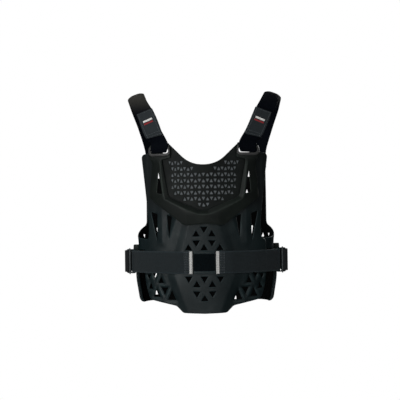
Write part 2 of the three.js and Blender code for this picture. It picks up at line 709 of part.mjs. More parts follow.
add('front_shell', frontShell(), 'shell');
add('chest_yoke', chestYoke(), 'yoke');
add('chest_vent', chestVent(), 'yoke');
add('vent_liner', ventLiner(), 'liner');
add('back_shell', backShell(), 'shell');
add('belt_patch', beltPatch(), 'pile');
for (const [name, side] of [['left', -1], ['right', 1]]) {
  add(`shoulder_strap_${name}`, shoulderStrap(side), 'webbing');
  add(`strap_tab_${name}`, strapTab(side), 'tab');
  add(`belt_${name}`, belt(BELT_ROWS, BELT_STEPS.front, side), 'elastic');
  add(`belt_tape_${name}`, beltTape(side), 'tape');
  add(`side_buckle_${name}`, sideBuckle(side), 'buckle');
  add(`rear_strap_${name}`, belt(REAR_ROWS, BELT_STEPS.rear, side), 'elastic');
  add(`belt_stop_${name}`, beltStop(side), 'shell');
}

export default armor;
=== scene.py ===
import functools
import math

import bpy
import numpy as np
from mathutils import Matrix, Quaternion, Vector
from mathutils.geometry import delaunay_2d_cdt
from mathutils.kdtree import KDTree


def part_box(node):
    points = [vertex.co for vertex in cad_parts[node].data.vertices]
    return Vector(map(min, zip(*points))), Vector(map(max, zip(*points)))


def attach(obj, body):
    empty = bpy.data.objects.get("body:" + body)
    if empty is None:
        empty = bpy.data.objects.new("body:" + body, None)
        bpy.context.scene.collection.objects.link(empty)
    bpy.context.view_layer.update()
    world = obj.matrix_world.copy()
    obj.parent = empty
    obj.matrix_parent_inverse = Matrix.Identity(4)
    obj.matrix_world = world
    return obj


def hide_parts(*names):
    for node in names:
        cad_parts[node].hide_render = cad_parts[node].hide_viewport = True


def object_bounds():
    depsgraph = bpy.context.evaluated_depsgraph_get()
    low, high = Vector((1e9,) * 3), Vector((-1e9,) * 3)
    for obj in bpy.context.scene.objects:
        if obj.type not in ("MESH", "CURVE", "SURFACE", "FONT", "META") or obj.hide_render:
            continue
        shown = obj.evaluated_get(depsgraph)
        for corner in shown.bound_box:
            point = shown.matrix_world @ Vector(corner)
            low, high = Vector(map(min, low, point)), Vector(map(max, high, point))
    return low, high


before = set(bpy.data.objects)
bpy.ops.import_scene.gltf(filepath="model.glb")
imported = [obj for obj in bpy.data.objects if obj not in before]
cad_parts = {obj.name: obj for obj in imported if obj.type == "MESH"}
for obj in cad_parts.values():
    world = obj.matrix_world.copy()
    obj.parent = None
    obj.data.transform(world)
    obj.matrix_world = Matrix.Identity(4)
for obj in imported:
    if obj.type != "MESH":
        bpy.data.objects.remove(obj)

bl_info = {
    "name": "Chest and back protector",
    "version": (1, 0, 0),
    "blender": (4, 5, 0),
    "location": "3D View > Sidebar > Protector",
    "description": "Moulded shells, webbing and buckles of a chest and back protector for sport",
    "category": "Add Mesh",
}

# The frame: shapes are worked out in millimetres with heights from the hem, then lowered to the frame.
CAD_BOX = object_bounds()
MM = 0.001
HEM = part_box("front_shell")[0].z / MM

# Sizes, most of them shared with the solids
WALL = 3.0
CLEAR = 0.7
TORSO = {"half_width": 146.0, "half_depth": 104.0, "widest": 0.99}
BACK = {"half_width": 150.0, "half_depth": 96.0, "front_depth": 74.0, "mm_per_degree": 2.2}
SPINE = {"rise": 6.0, "slope": 0.4}
RIDGE = {"at": 88.0, "half_width": 13.0, "rise": 3.0, "from": 134.0, "full": 152.0}
DIP = {"tip": (73.5, 156.0), "edge": (56.0, 202.0), "slot": (67.5, 202.0), "depth": 7.0, "least": 0.5}
VENT = {"rise": 5.0, "wall": 1.6, "margin": 4.0, "low_below": 250.0, "post_gap": 1.5}
LINER = {"wall": 2.4, "gap": 0.2, "margin": 2.0, "top": 352.0}
YOKE = {"cap": 17.0, "inner_slope": 0.9, "lip": 9.0, "lug_rise": 9.8, "lug_from": 312.0, "lug_full": 326.0}
SLOT = {"inner": 74.0, "outer": 112.0, "bottom": 335.5, "top": 346.5, "corner": 5.0}
RIM = {"wide": 6.4, "rise": 3.4, "top": 347.5, "fade": 352.5, "blend": 1.5, "proud": 0.3}
STRAP = {"width": 38.0, "thick": 2.2, "steps": 48, "bar_clear": 2.4, "back_clear": 2.6, "fold_drop": 7.9,
         "fold_tilt": 1.2, "fold_inset": 2.6, "side_gap": 1.0}
TAB = {"thick": 1.8, "clear": 0.4, "steps": 7}
BELT = {"width": 46.5, "thick": 2.4, "middle": 107.0, "end": 24.5, "clear": 0.9, "back_clear": 2.0}
FOLD = {"past": 3.0, "near": 2.2, "flat": 1.8}
TAPE = {"width": 7.0, "thick": 0.8, "clear": 0.4}
PATCH = {"half_width": 22.0, "half_height": 17.5, "thick": 1.4, "clear": 0.4, "corner": 2.0, "bar": 5.0,
         "bar_rise": 2.6, "bar_seat": 0.05}
BAR = {"width": 3.2, "height": 56.0, "proud": 0.8, "thick": 1.6, "corner": 1.2}
BUCKLE = {"x": 161.0, "y": -13.0, "turn": 52.0, "length": 24.0, "height": 52.0, "thick": 4.0, "bar": 4.5,
          "post": 3.0, "post_at": 2.2, "end": 2.6, "corner": 4.0, "window_corner": 1.0}
STOP = {"length": 14.0, "height": 13.0, "thick": 11.5, "bottom": 129.0, "turn": 84.0, "seat": 0.5,
        "low_corner": 2.0, "high_corner": 4.0}

# Rows of height and value down the front, the back and the wings
FRONT_PROFILE = [(-10, -7), (70, 0), (140, 0), (230, 4), (355, -17)]
BACK_PROFILE = [(0, -3), (110, -6), (250, 2), (345, -9)]
WING_TAPER = [
    (18, 0.908), (21, 0.94), (26, 0.962), (34, 0.973), (80, 1.012), (140, 0.972), (170, 0.985), (350, 1.0),
]

# Half outlines from the middle of the bottom edge up the right side: x, height, corner radius
FRONT_OUTLINE = [
    (0, 0), (45.5, 1.5, 4), (59.5, 16, 4), (117, 28, 8), (127, 60, 20), (129.5, 110, 20), (128.5, 152, 5),
    (119, 158, 3), (118, 190, 20), (124, 250, 30), (134.5, 334, 9), (107, 339, 5), (107, 248, 8),
    (92, 236, 8), (34, 199, 12),
]
YOKE_OUTER = [
    (0, 188), (41, 184, 6), (115, 242, 5), (108.5, 315, 6), (117, 330, 4), (117, 348, 5), (109, 356.5, 5),
    (71, 356.5, 3),
]
YOKE_INNER = [(69.5, 326, 3), (88, 322, 2), (74, 244, 8), (9, 216, 6), (0, 215.5)]
NECKLINE = [(71.5, 355.5, 4), (27, 311, 26)]

# Facets of the yoke: the line of each edge, its height there and how fast it climbs
YOKE_FACETS = [
    {"line": ((115, 242), (108.5, 315)), "edge": 7.0, "slope": 0.33},
    {"line": ((41, 184), (115, 242)), "edge": 10.0, "slope": 0.28},
    {"line": ((0, 184), (41, 184)), "edge": 11.0, "slope": 0.24},
]
RECESS_EDGES = [((88, 323), (74, 244)), ((74, 244), (9, 216)), ((9, 216), (-9, 216))]
SPINE_EDGES = [((47, -5), (78, 77)), ((78, 77), (46, 190))]

# Slots cut on both sides
YOKE_SLOT = [(94.5, 299, 2), (86, 250, 3.5), (98, 252, 3.5)]
SIDE_SLOTS = [
    [(98, 208, 2), (112, 213, 2), (99.5, 152, 2)],
    [(67.5, 202, 2), (77, 207, 2), (73.5, 158, 1.5)],
]

# Triangular vents: x, height of the middle, width, height, whether the tip points up
SPINE_VENT = (15.0, 12.6)
SPINE_VENTS = [
    (0, 174.5, False), (16.3, 167.5, True), (16.3, 146.3, False), (0, 138.7, True), (32.6, 138.7, True),
    (0, 71.3, False), (33, 71.3, False), (16.2, 62.3, True), (16.2, 40.3, False), (0, 33, True),
]
FLANK_VENTS = [
    (105.5, 80.5, 12.5, 13, False), (119, 76, 8, 9, False), (92, 70, 11, 13, True), (115, 57, 9, 13, True),
    (101.5, 42.5, 15, 17, True), (84.5, 46.5, 14, 15, False), (69, 38.5, 17, 20, True),
]
MESH = {"width": 7.2, "height": 7.4, "row_pitch": 12.5, "lowest": 227.0, "pitch": 8.55, "closing": 0.145,
        "narrowing": 0.03}
MESH_ROWS = [(0, 1), (0, 5), (0, 8), (0, 9), (0, 9), (0, 9), (3, 9), (6, 10)]

# Back shell from the spine round to the end of a wing: turn in degrees, top edge, hem
BACK_COLUMNS = [
    (0, 298, 10), (8, 301, 10.5), (15, 315, 10.5), (23, 333, 10.5), (29, 341, 11), (40, 341, 14),
    (52, 341, 17), (61, 336, 18), (63, 184, 18), (76, 174, 18), (90, 162, 18), (97, 159, 19), (99, 158, 132),
    (108, 156.5, 132), (122, 155, 132), (132, 151, 135),
]
BACK_CORNER = 9.0
BACK_VENTS = [
    (39.5, 294.5, 6, 15, True), (45.6, 293, 6, 15, True), (37.2, 255.5, 6, 9, True),
    (42.4, 166, 7, 26, False), (48, 169, 6, 15, False), (58, 160, 11, 10, True), (69, 158, 11, 10, False),
    (48.5, 73, 11, 11, True), (51, 36, 8, 13, True), (25.7, 20, 11, 8, True),
]
VENT_CORNER = {"front": 1.2, "mesh": 0.7, "back": 1.5}

# Right shoulder strap: turns and heights on the back, then pairs of inner and outer edge points
STRAP_BACK = {"turns": (39, 60), "heights": (306, 324, 342)}
STRAP_OVER = [
    ((110, 68, 398), (147, 54, 391)), ((124, 44, 445), (161, 38, 432)), ((132, 6, 472), (167.5, 6, 459)),
    ((122.5, -33, 452), (157.5, -29, 438.5)), ((104.5, -57, 418), (138.5, -49, 404.5)),
    ((87, -68, 377), (121, -57, 366)),
]
STRAP_BAR = (357, 346)
STRAP_FRONT = [
    ((90, -82, 385), (124, -70, 373)), ((105.5, -65, 421), (139, -57, 407.5)),
    ((109.5, -57.5, 431), (143.5, -51, 418.5)),
]

# Right belt and rear strap in plan: seats on the front shell, then on to the buckle and to the back
BELT_SEATS = (40, 55, 66, 76, 86, 98, 110, 120)
BELT_SPAN = [(131, -50.8), (143, -37.5)]
BELT_TAIL = (142, -27)
REAR_SPAN = [(174.3, 0), (169.5, 18), (155, 43)]
REAR_TURNS = (56, 48, 42)

# The two sides, and the finish of the straps: both are crowned at the top, the left one is painted paler
# towards the top of the shoulder, a painted sheen, and it leans
SIDES = (("left", -1), ("right", 1))
CROWN = {"drop": 5.0, "from": 440.0, "full": 468.0}
STRAP_SHEEN = {"from": 416.0, "full": 474.0}
LEAN = [(350, 0.0), (385, 1.8), (418, 2.7), (450, 0.0), (475, -2.0)]

# Trim: plain bars on the tabs, and stitch rows from the ends and edges of what they hold
LABEL = {"below_end": 58.0, "white": (31.5, 36.8), "red": (25.8, 30.3), "inset": 8.0, "thick": 0.6}
TAB_SEAM = {"edge": 3.5, "end": 3.0, "second": 8.0, "proud": 0.15}
BELT_SEAM = {"rows": (9.5, 12.0, 14.5, 17.0), "edge": 2.0, "tape_edge": 1.6, "proud": 0.1, "points": 30}

# How finely pieces are drawn: rows along each ribbon, and for each small moulding its outline step, edge
# radius, face step and inner step
RIBBON_ROWS = {"strap": 360, "tab": 90, "belt": 260, "rear": 160}
BACK_COARSER = 1.3
FINENESS = {
    "belt_bar": (1.2, 1.1, 1.4, 3.0), "liner": (3.0, 0.8, 3.0, 5.0), "patch": (1.5, 0.5, 1.6, 4.0),
    "buckle": (1.5, 0.9, 1.4, 1.4), "buckle_bar": (1.0, 0.5, 1.2, 1.2), "stop": (1.0, 1.2, 1.2, 3.0),
}
EDGE_STEPS = 3
SHARP_FROM = 50

# How much of an edge a round corner may take, what keeps a sharp corner from being moved too far, and how
# far points keep from an outline as a share of their spacing
CORNER_REACH = 0.49
LEAST_LEAN = 0.6
EDGE_CLEAR = 0.55

# Finer relief that only the finished surface has
# The arms of the front shell are painted darker and matter towards the top, a painted shade
ARM = {"arm_shade": 0.55, "from": 200.0, "full": 240.0}
LIP = {"deep": 3.6, "from": 91.0, "full": 95.0, "top": 129.0, "fade": 8.0}
RELIEF = {"crease": 1.1, "spine_blend": 1.0, "flange_at": 120.0, "flange_soft": 1.5, "flange_rise": 1.6,
          "flange_from": 168.0, "flange_full": 188.0, "vent_wide": 4.5, "vent_deep": 2.2}
BACK_SPINE = {"half_turn": 13.0, "widening": 0.02, "middle": 150.0, "soft": 3.0, "rise": 3.0, "from": 24.0,
              "full": 34.0, "top": 292.0, "fade": 10.0}

# A face looks at the wearer when its normal leans inward by more than this share
INWARD = 0.35

# Shares of a moulded plastic's own colour on edges, which are paler partly from wear and partly as a painted
# highlight, on rims, which are paler as a painted highlight, and on faces inside, which are almost black as a
# painted shade; and a rim's roughness
PLASTIC = {"worn": 3.0, "rim": 5.0, "inside": 0.12, "rim_roughness": 0.24}
# Shares of a band's own colour in its valleys and on its edges, which are paler as a painted highlight, and
# where that paler edge band runs and the fluff in millimetres
WEAVE = {"valley": 0.7, "edge_highlight": 2.2, "selvage_share": 0.75, "selvage_full": 1.2, "selvage_end": 3.4,
         "fluff": 5 / 3}


def linear(hex_colour):
    """An sRGB hex colour as linear red, green and blue."""
    values = [int(hex_colour[i:i + 2], 16) / 255 for i in (1, 3, 5)]
    return tuple(v / 12.92 if v <= 0.04045 else ((v + 0.055) / 1.055) ** 2.4 for v in values)


def colour_setting(name, description, hex_colour):
    return bpy.props.FloatVectorProperty(
        name=name, description=description, default=linear(hex_colour), subtype="COLOR", min=0, max=1)


def length_setting(name, description, millimetres):
    return bpy.props.FloatProperty(
        name=name, description=description, default=millimetres * MM, min=0, unit="LENGTH", precision=4)


class ProtectorSizes(bpy.types.PropertyGroup):
    """Sizes of the finish, on top of the solids' own sizes."""

    surface_step: length_setting("Surface step", "Spacing of the points on a moulded face", 2.2)
    yoke_step: length_setting("Yoke step", "Spacing of the points on the chest yoke and its vent", 1.7)
    inner_step: length_setting("Inner step", "Spacing of the points on a wall's inner face", 7.0)
    edge_radius: length_setting("Edge radius", "Rounding of the moulded edges", 1.2)
    mesh_edge: length_setting("Vent edge radius", "Rounding of the small vent triangles", 0.45)
    stitch_pitch: length_setting("Stitch pitch", "Distance between stitches in a row", 3.4)
    stitch_length: length_setting("Stitch length", "Length of one stitch", 2.6)
    thread: length_setting("Thread", "Thickness of the sewing thread", 0.9)
    weave_pitch: length_setting("Weave pitch", "Spacing of the webbing's ribs", 2.4)
    rib_pitch: length_setting("Elastic rib pitch", "Spacing of the elastic's lengthwise ribs", 2.6)


class ProtectorColours(bpy.types.PropertyGroup):
    """Colours of the finish."""

    shell: colour_setting("Shell", "Moulded front and back shells", "#111f22")
    shell_light: colour_setting("Shell, worn", "Paler patches of the shells", "#1b292b")
    yoke: colour_setting("Yoke", "Moulded chest yoke", "#151b19")
    yoke_light: colour_setting("Yoke, worn", "Paler patches of the yoke", "#1f2622")
    vent: colour_setting("Vent", "Pierced chest panel", "#0f1413")
    vent_light: colour_setting("Vent, worn", "Paler patches of the chest panel", "#171d1b")
    liner: colour_setting("Liner", "Foam behind the vent triangles", "#868c90")
    webbing: colour_setting("Webbing", "Shoulder straps", "#040810")
    # Painted sheen: the left strap is painted this paler colour towards the top of the shoulder
    painted_sheen: colour_setting("Highlit webbing", "Left strap over the shoulder", "#4a4944")
    tab: colour_setting("Tab", "Hook-and-loop tabs on the straps", "#212a2f")
    elastic: colour_setting("Elastic", "Belt", "#182327")
    rear: colour_setting("Rear elastic", "Rear straps", "#12171a")
    tape: colour_setting("Tape", "Tape at the belt ends", "#f6f6f2")
    red: colour_setting("Red bar", "Lower bar on the strap tabs", "#9a2a2e")
    pile: colour_setting("Pile", "Patch between the belt ends", "#050c0f")
    buckle: colour_setting("Buckle", "Frame of the side buckles", "#1a1d1e")
    # The buckle bar is painted paler than the frame, a painted highlight
    bar: colour_setting("Buckle bar", "Bar of the side buckles", "#4a4f50")
    thread: colour_setting("Thread", "Sewing thread on the dark pieces", "#5e666a")
    floor: colour_setting("Floor", "Studio floor", "#f4f4f4")


def ramp(value, low, high):
    """A smooth step from 0 at low to 1 at high."""
    t = np.clip((value - low) / (high - low), 0, 1)
    return t * t * (3 - 2 * t)


def soft_min(a, b, blend):
    """The lower of two heights, with the corner between them rounded over."""
    h = np.clip(0.5 + 0.5 * (b - a) / blend, 0, 1)
    return b + (a - b) * h - blend * h * (1 - h)


def soft_max(a, b, blend):
    return -soft_min(-a, -b, blend)


def profile(rows, z):
    """A smooth curve through rows of height and value."""
    heights, values = np.array(rows, float).T
    last = len(heights) - 1
    i = np.clip(np.searchsorted(heights, z) - 1, 0, last - 1)
    before, after = np.maximum(i - 1, 0), np.minimum(i + 2, last)
    span = heights[i + 1] - heights[i]
    t = np.clip((z - heights[i]) / span, 0, 1)
    leave = (values[i + 1] - values[before]) / (heights[i + 1] - heights[before]) * span
    arrive = (values[after] - values[i]) / (heights[after] - heights[i]) * span
    s = 1 - t
    ends = values[i] * s * s * (1 + 2 * t) + values[i + 1] * t * t * (3 - 2 * t)
    return ends + leave * t * s * s - arrive * t * t * s


def beside(line, x, z):
    """Distance of points to the left of a line."""
    (ax, az), (bx, bz) = line
    dx, dz = bx - ax, bz - az
    return (dx * (z - az) - dz * (x - ax)) / math.hypot(dx, dz)


def outside(corners, x, z):
    """Distance of points from a triangle whose corners run anticlockwise."""
    lines = [(corners[i][:2], corners[(i + 1) % len(corners)][:2]) for i in range(len(corners))]
    return np.max([-beside(line, x, z) for line in lines], axis=0)


def torso_front(x, z):
    share = np.minimum(np.abs(x) / TORSO["half_width"], TORSO["widest"])
    return -(TORSO["half_depth"] + profile(FRONT_PROFILE, z)) * np.sqrt(1 - share * share)


def shell_rise(x, z):
    """What stands out of the bare torso curve: spine panel and the rib between the side slots."""
    half = np.abs(x)
    inside = soft_min(beside(SPINE_EDGES[0], half, z), beside(SPINE_EDGES[1], half, z), RELIEF["crease"])
    blend = RELIEF["spine_blend"]
    spine = soft_max(soft_min(inside * SPINE["slope"], SPINE["rise"], blend), 0, blend)
    across = np.maximum(0, 1 - np.abs(half - RIDGE["at"]) / RIDGE["half_width"])
    return spine + RIDGE["rise"] * across * ramp(z, RIDGE["from"], RIDGE["full"])


def slot_dip(x, z):
    """How far the spine side of each inner slot dips into it."""
    half = np.abs(x)
    climb = (z - DIP["tip"][1]) / (DIP["edge"][1] - DIP["tip"][1])
    start = DIP["tip"][0] + (DIP["edge"][0] - DIP["tip"][0]) * climb
    end = DIP["tip"][0] + (DIP["slot"][0] - DIP["tip"][0]) * climb
    rising = (half - start) / np.maximum(end - start, DIP["least"])
    falling = 1 - (half - end) / DIP["depth"]
    share = np.clip(np.where(half > end, falling, rising), 0, 1)
    return DIP["depth"] * np.clip(climb, 0, 1) * share


def shell_detail(x, z):
    """Fine relief of the front shell: the raised side flange and sunk edges round the flank vents."""
    half = np.abs(x)
    low, high = RELIEF["flange_at"] - RELIEF["flange_soft"], RELIEF["flange_at"] + RELIEF["flange_soft"]
    flange = RELIEF["flange_rise"] * ramp(half, low, high)
    rise = flange * ramp(z, RELIEF["flange_from"], RELIEF["flange_full"])
    for vent in FLANK_VENTS:
        near = RELIEF["vent_wide"] - outside(triangle(*vent), half, z)
        rise = rise - RELIEF["vent_deep"] * ramp(near, 0, RELIEF["vent_wide"])
    return rise


def shell_crown(x, z):
    return torso_front(x, z) - shell_rise(x, z)


def shell_face(x, z):
    return shell_crown(x, z) + slot_dip(x, z) - shell_detail(x, z)


def slot_distance(half, z):
    """Distance from the strap slot's edge, which has round corners."""
    middle = (SLOT["inner"] + SLOT["outer"]) / 2, (SLOT["bottom"] + SLOT["top"]) / 2
    size = (SLOT["outer"] - SLOT["inner"]) / 2, (SLOT["top"] - SLOT["bottom"]) / 2
    dx = np.abs(half - middle[0]) - size[0] + SLOT["corner"]
    dz = np.abs(z - middle[1]) - size[1] + SLOT["corner"]
    return np.hypot(np.maximum(dx, 0), np.maximum(dz, 0)) + np.minimum(np.maximum(dx, dz), 0) - SLOT["corner"]


def rim_bead(half, z):
    """The half-round rim down both sides and under each strap slot, but not under the strap."""
    radius = RIM["wide"] / 2
    off = (slot_distance(half, z) - radius) / radius
    bead = np.sqrt(np.maximum(0, 1 - off * off))
    beside_strap = np.maximum(SLOT["inner"] - half, half - SLOT["outer"])
    covered = ramp(beside_strap, 0, -RIM["blend"]) * ramp(z, SLOT["top"] - RIM["blend"], SLOT["top"])
    return RIM["rise"] * bead * (1 - ramp(z, RIM["top"], RIM["fade"])) * (1 - covered)


def yoke_rise(x, z):
    half = np.abs(x)
    crease = RELIEF["crease"]
    rise = np.full_like(half, YOKE["cap"])
    for facet in YOKE_FACETS:
        rise = soft_min(rise, facet["edge"] + facet["slope"] * beside(facet["line"], half, z), crease)
    past = np.zeros_like(half)
    for line in RECESS_EDGES:
        past = soft_max(past, beside(line, half, z), crease)
    inner = VENT["rise"] + CLEAR + WALL + YOKE["inner_slope"] * past
    rise = soft_min(rise, inner, crease)
    lug = ramp(z, YOKE["lug_from"], YOKE["lug_full"])
    return rise + (YOKE["lug_rise"] - rise) * lug


def yoke_face(x, z):
    return torso_front(x, z) - yoke_rise(x, z)


def yoke_rimmed(x, z):
    return yoke_face(x, z) - rim_bead(np.abs(x), z)


def vent_face(x, z):
    return torso_front(x, z) - VENT["rise"]


def behind(face, wall):
    """A wall of even thickness behind a face: deeper along Y where the face leans."""
    def back(x, z):
        lean_x = (face(x + 1, z) - face(x - 1, z)) / 2
        lean_z = (face(x, z + 1) - face(x, z - 1)) / 2
        return face(x, z) + wall * np.sqrt(1 + lean_x ** 2 + lean_z ** 2)
    return back


def yoke_inside(x, z):
    """The yoke's inside: an even wall that thickens at the lower edge until it meets the shell."""
    even = behind(yoke_face, WALL)(x, z)
    seat = shell_crown(x, z) - CLEAR
    half = np.abs(x)
    inset = np.minimum(beside(YOKE_FACETS[1]["line"], half, z), beside(YOKE_FACETS[2]["line"], half, z))
    share = ramp(inset, 0, YOKE["lip"])
    return even * share + np.maximum(seat, even) * (1 - share)


def back_point(turn, z, out):
    """Points of the back shell's outer face at a turn from the spine, moved out along its normal."""
    angle = np.radians(turn)
    half_width = BACK["half_width"] * profile(WING_TAPER, z)
    rear_depth = BACK["half_depth"] + profile(BACK_PROFILE, z)
    half_depth = np.where(np.cos(angle) > 0, rear_depth, BACK["front_depth"])
    nx, ny = np.sin(angle) / half_width, np.cos(angle) / half_depth
    length = np.hypot(nx, ny)
    x = half_width * np.sin(angle) + out * nx / length
    y = half_depth * np.cos(angle) + out * ny / length
    return np.stack([x, y, z + 0 * x], axis=-1)


def back_rise(turn, z):
    """A raised spine panel on the plain back, a little wider towards the top."""
    edge = BACK_SPINE["half_turn"] + BACK_SPINE["widening"] * (z - BACK_SPINE["middle"])
    across = ramp(edge - np.abs(turn), 0, BACK_SPINE["soft"])
    low = ramp(z, BACK_SPINE["from"], BACK_SPINE["full"])
    high = ramp(BACK_SPINE["top"] - z, 0, BACK_SPINE["fade"])
    return BACK_SPINE["rise"] * across * low * high


def wing_wall(turn, z):
    """The back shell's wall, which thickens to a lip along the front edge of each wing."""
    low = ramp(LIP["top"] - z, 0, LIP["fade"])
    return WALL + LIP["deep"] * low * ramp(np.abs(turn), LIP["from"], LIP["full"])


def triangle(x, z, width, height, up):
    """Corners of a vent, anticlockwise."""
    tip = height / 2 if up else -height / 2
    corners = [(x, z + tip), (x - width / 2, z - tip), (x + width / 2, z - tip)]
    return corners if up else corners[::-1]


def flipped(corners):
    return [(-corner[0], *corner[1:]) for corner in reversed(corners)]


def whole(half):
    """A whole outline from its right half."""
    return list(half) + [corner for corner in flipped(half) if corner[0] != 0]


def pair(corners):
    return [corners, flipped(corners)]


def rectangle(left, right, low, high, radius):
    """Corners of an upright rectangle, anticlockwise."""
    return [(left, low, radius), (right, low, radius), (right, high, radius), (left, high, radius)]


def vent_pair(x, z, width, height, up, radius):
    corners = [(*corner, radius) for corner in triangle(x, z, width, height, up)]
    return [corners] if x == 0 else pair(corners)


def rounded(corners, step):
    """A closed anticlockwise loop of points along an outline with round corners."""
    places = np.array([corner[:2] for corner in corners], float)
    count = len(places)
    loop = []
    for i, corner in enumerate(corners):
        at = places[i]
        arms = [places[i - 1] - at, places[(i + 1) % count] - at]
        sizes = [np.linalg.norm(arm) for arm in arms]
        radius = min(corner[2] if len(corner) > 2 else 0, CORNER_REACH * min(sizes))
        start, end = (at + arm / size * radius for arm, size in zip(arms, sizes))
        bends = max(3, math.ceil(2 * radius / step)) if radius else 0
        for t in np.linspace(0, 1, bends + 1):
            loop.append(start * (1 - t) ** 2 + at * 2 * t * (1 - t) + end * t * t)
    points = []
    for a, b in zip(loop, loop[1:] + loop[:1]):
        cuts = max(1, math.ceil(np.linalg.norm(b - a) / step))
        points += [a + (b - a) * k / cuts for k in range(cuts) if np.linalg.norm(b - a) > 1e-6]
    points = np.array(points)
    area = np.sum(points[:, 0] * np.roll(points[:, 1], -1) - points[:, 1] * np.roll(points[:, 0], -1))
    return points if area > 0 else points[::-1]


def inset(loop, by):
    """The loop moved to its left by a distance."""
    before = loop - np.roll(loop, 1, axis=0)
    after = np.roll(loop, -1, axis=0) - loop
    sides = []
    for run in (before, after):
        run = run / np.linalg.norm(run, axis=1, keepdims=True)
        sides.append(np.stack([-run[:, 1], run[:, 0]], axis=1))
    lean = 1 + np.sum(sides[0] * sides[1], axis=1, keepdims=True)
    return loop + by * (sides[0] + sides[1]) / np.maximum(lean, LEAST_LEAN)


def within(points, loop):
    """Which points lie inside a loop."""
    x, y = points[:, :1], points[:, 1:]
    ax, ay = loop.T
    bx, by = np.roll(loop, -1, axis=0).T
    crosses = (ay > y) != (by > y)
    reach = (bx - ax) * (y - ay) / np.where(by == ay, 1e-9, by - ay) + ax
    return np.sum(crosses & (x < reach), axis=1) % 2 == 1


def spread(loops, step):
    """Points on a triangular grid inside the first loop and outside the others."""
    low, high = loops[0].min(axis=0), loops[0].max(axis=0)
    rows = np.arange(low[1], high[1], step * math.sqrt(3) / 2)
    columns = np.arange(low[0], high[0], step)
    a, b = np.meshgrid(columns, rows)
    a = a + step / 2 * (np.arange(len(rows)) % 2)[:, None]
    points = np.stack([a.ravel(), b.ravel()], axis=1)
    points = points[within(points, loops[0])]
    for hole in loops[1:]:
        lowest, highest = hole.min(axis=0), hole.max(axis=0)
        close = np.all((points > lowest) & (points < highest), axis=1)
        keep = np.ones(len(points), bool)
        keep[close] = ~within(points[close], hole)
        points = points[keep]
    edge = KDTree(sum(len(loop) for loop in loops))
    for i, point in enumerate(np.concatenate(loops)):
        edge.insert((point[0], point[1], 0), i)
    edge.balance()
    clear = [edge.find((point[0], point[1], 0))[2] > EDGE_CLEAR * step for point in points]
    return points[np.array(clear, bool)] if len(points) else points


def filled(loops, points):
    """Triangles between the loops over their points and the inner points, anticlockwise."""
    owner = [np.full(len(loop), i) for i, loop in enumerate(loops)]
    owner = np.concatenate(owner + [np.full(len(points), -1)])
    edges, start = [], 0
    for loop in loops:
        count = len(loop)
        edges += [(start + i, start + (i + 1) % count) for i in range(count)]
        start += count
    flat = np.concatenate(list(loops) + [points])
    made = delaunay_2d_cdt([Vector(p) for p in flat], edges, [], 1, 1e-7)
    origin = [found[0] if found else None for found in made[3]]
    if None in origin:
        crossing = [tuple(made[0][i]) for i, found in enumerate(made[3]) if not found]
        raise RuntimeError(f"the outlines of a panel cross at {crossing}")
    faces = np.array([[origin[i] for i in face] for face in made[2]])
    owners = owner[faces]
    in_hole = (owners[:, 0] > 0) & (owners[:, 0] == owners[:, 1]) & (owners[:, 0] == owners[:, 2])
    faces = faces[~in_hole]
    a, b, c = (flat[faces[:, i]] for i in range(3))
    turned = (b[:, 0] - a[:, 0]) * (c[:, 1] - a[:, 1]) - (b[:, 1] - a[:, 1]) * (c[:, 0] - a[:, 0]) < 0
    faces[turned] = faces[turned][:, ::-1]
    return faces


def panel(loops, place, wall, radius, step, inner_step):
    """A moulded wall with rounded edges: vertices and faces of one closed mesh.

    The first loop is the outline and the others are holes. place(a, b, share) carries flat points to the
    wall, from its outer face at share 0 to its inner face at share 1.
    """
    turns = np.linspace(0, math.pi / 2, EDGE_STEPS + 1)
    outer = [(radius * (1 - math.sin(t)), radius * (1 - math.cos(t)) / wall) for t in turns]
    rings = outer + [(by, 1 - share) for by, share in reversed(outer)]
    total = sum(len(loop) for loop in loops)
    vertices, ring_loops = [], []
    for by, share in rings:
        moved = [inset(loop, by if i == 0 else -by) for i, loop in enumerate(loops)]
        ring_loops.append(moved)
        flat = np.concatenate(moved)
        vertices.append(place(flat[:, 0], flat[:, 1], share))
    faces = []
    start = 0
    for i, loop in enumerate(loops):
        count = len(loop)
        for k in range(len(rings) - 1):
            low, high = k * total + start, (k + 1) * total + start
            for j in range(count):
                n = (j + 1) % count
                quad = (low + n, low + j, high + j, high + n)
                faces.append(quad if i == 0 else (low + j, low + n, high + n, high + j))
        start += count
    used = len(rings) * total
    for side, ring, gap in ((0, 0, step), (1, len(rings) - 1, inner_step)):
        points = spread(ring_loops[ring], gap)
        cells = filled(ring_loops[ring], points)
        cells = np.where(cells < total, cells + ring * total, cells - total + used)
        faces += [tuple(cell) for cell in (cells if side == 0 else cells[:, ::-1]).tolist()]
        vertices.append(place(points[:, 0], points[:, 1], float(side)))
        used += len(points)
    return np.concatenate(vertices), faces


def between(front, back):
    """A function that carries flat points of x and height to a wall between a front and a back face."""
    def place(x, z, share):
        near, far = front(x, z), back(x, z)
        return np.stack([x, near + (far - near) * share, z], axis=1)
    return place


def raised(face, by):
    """A face moved towards the front."""
    return lambda x, z: face(x, z) - by


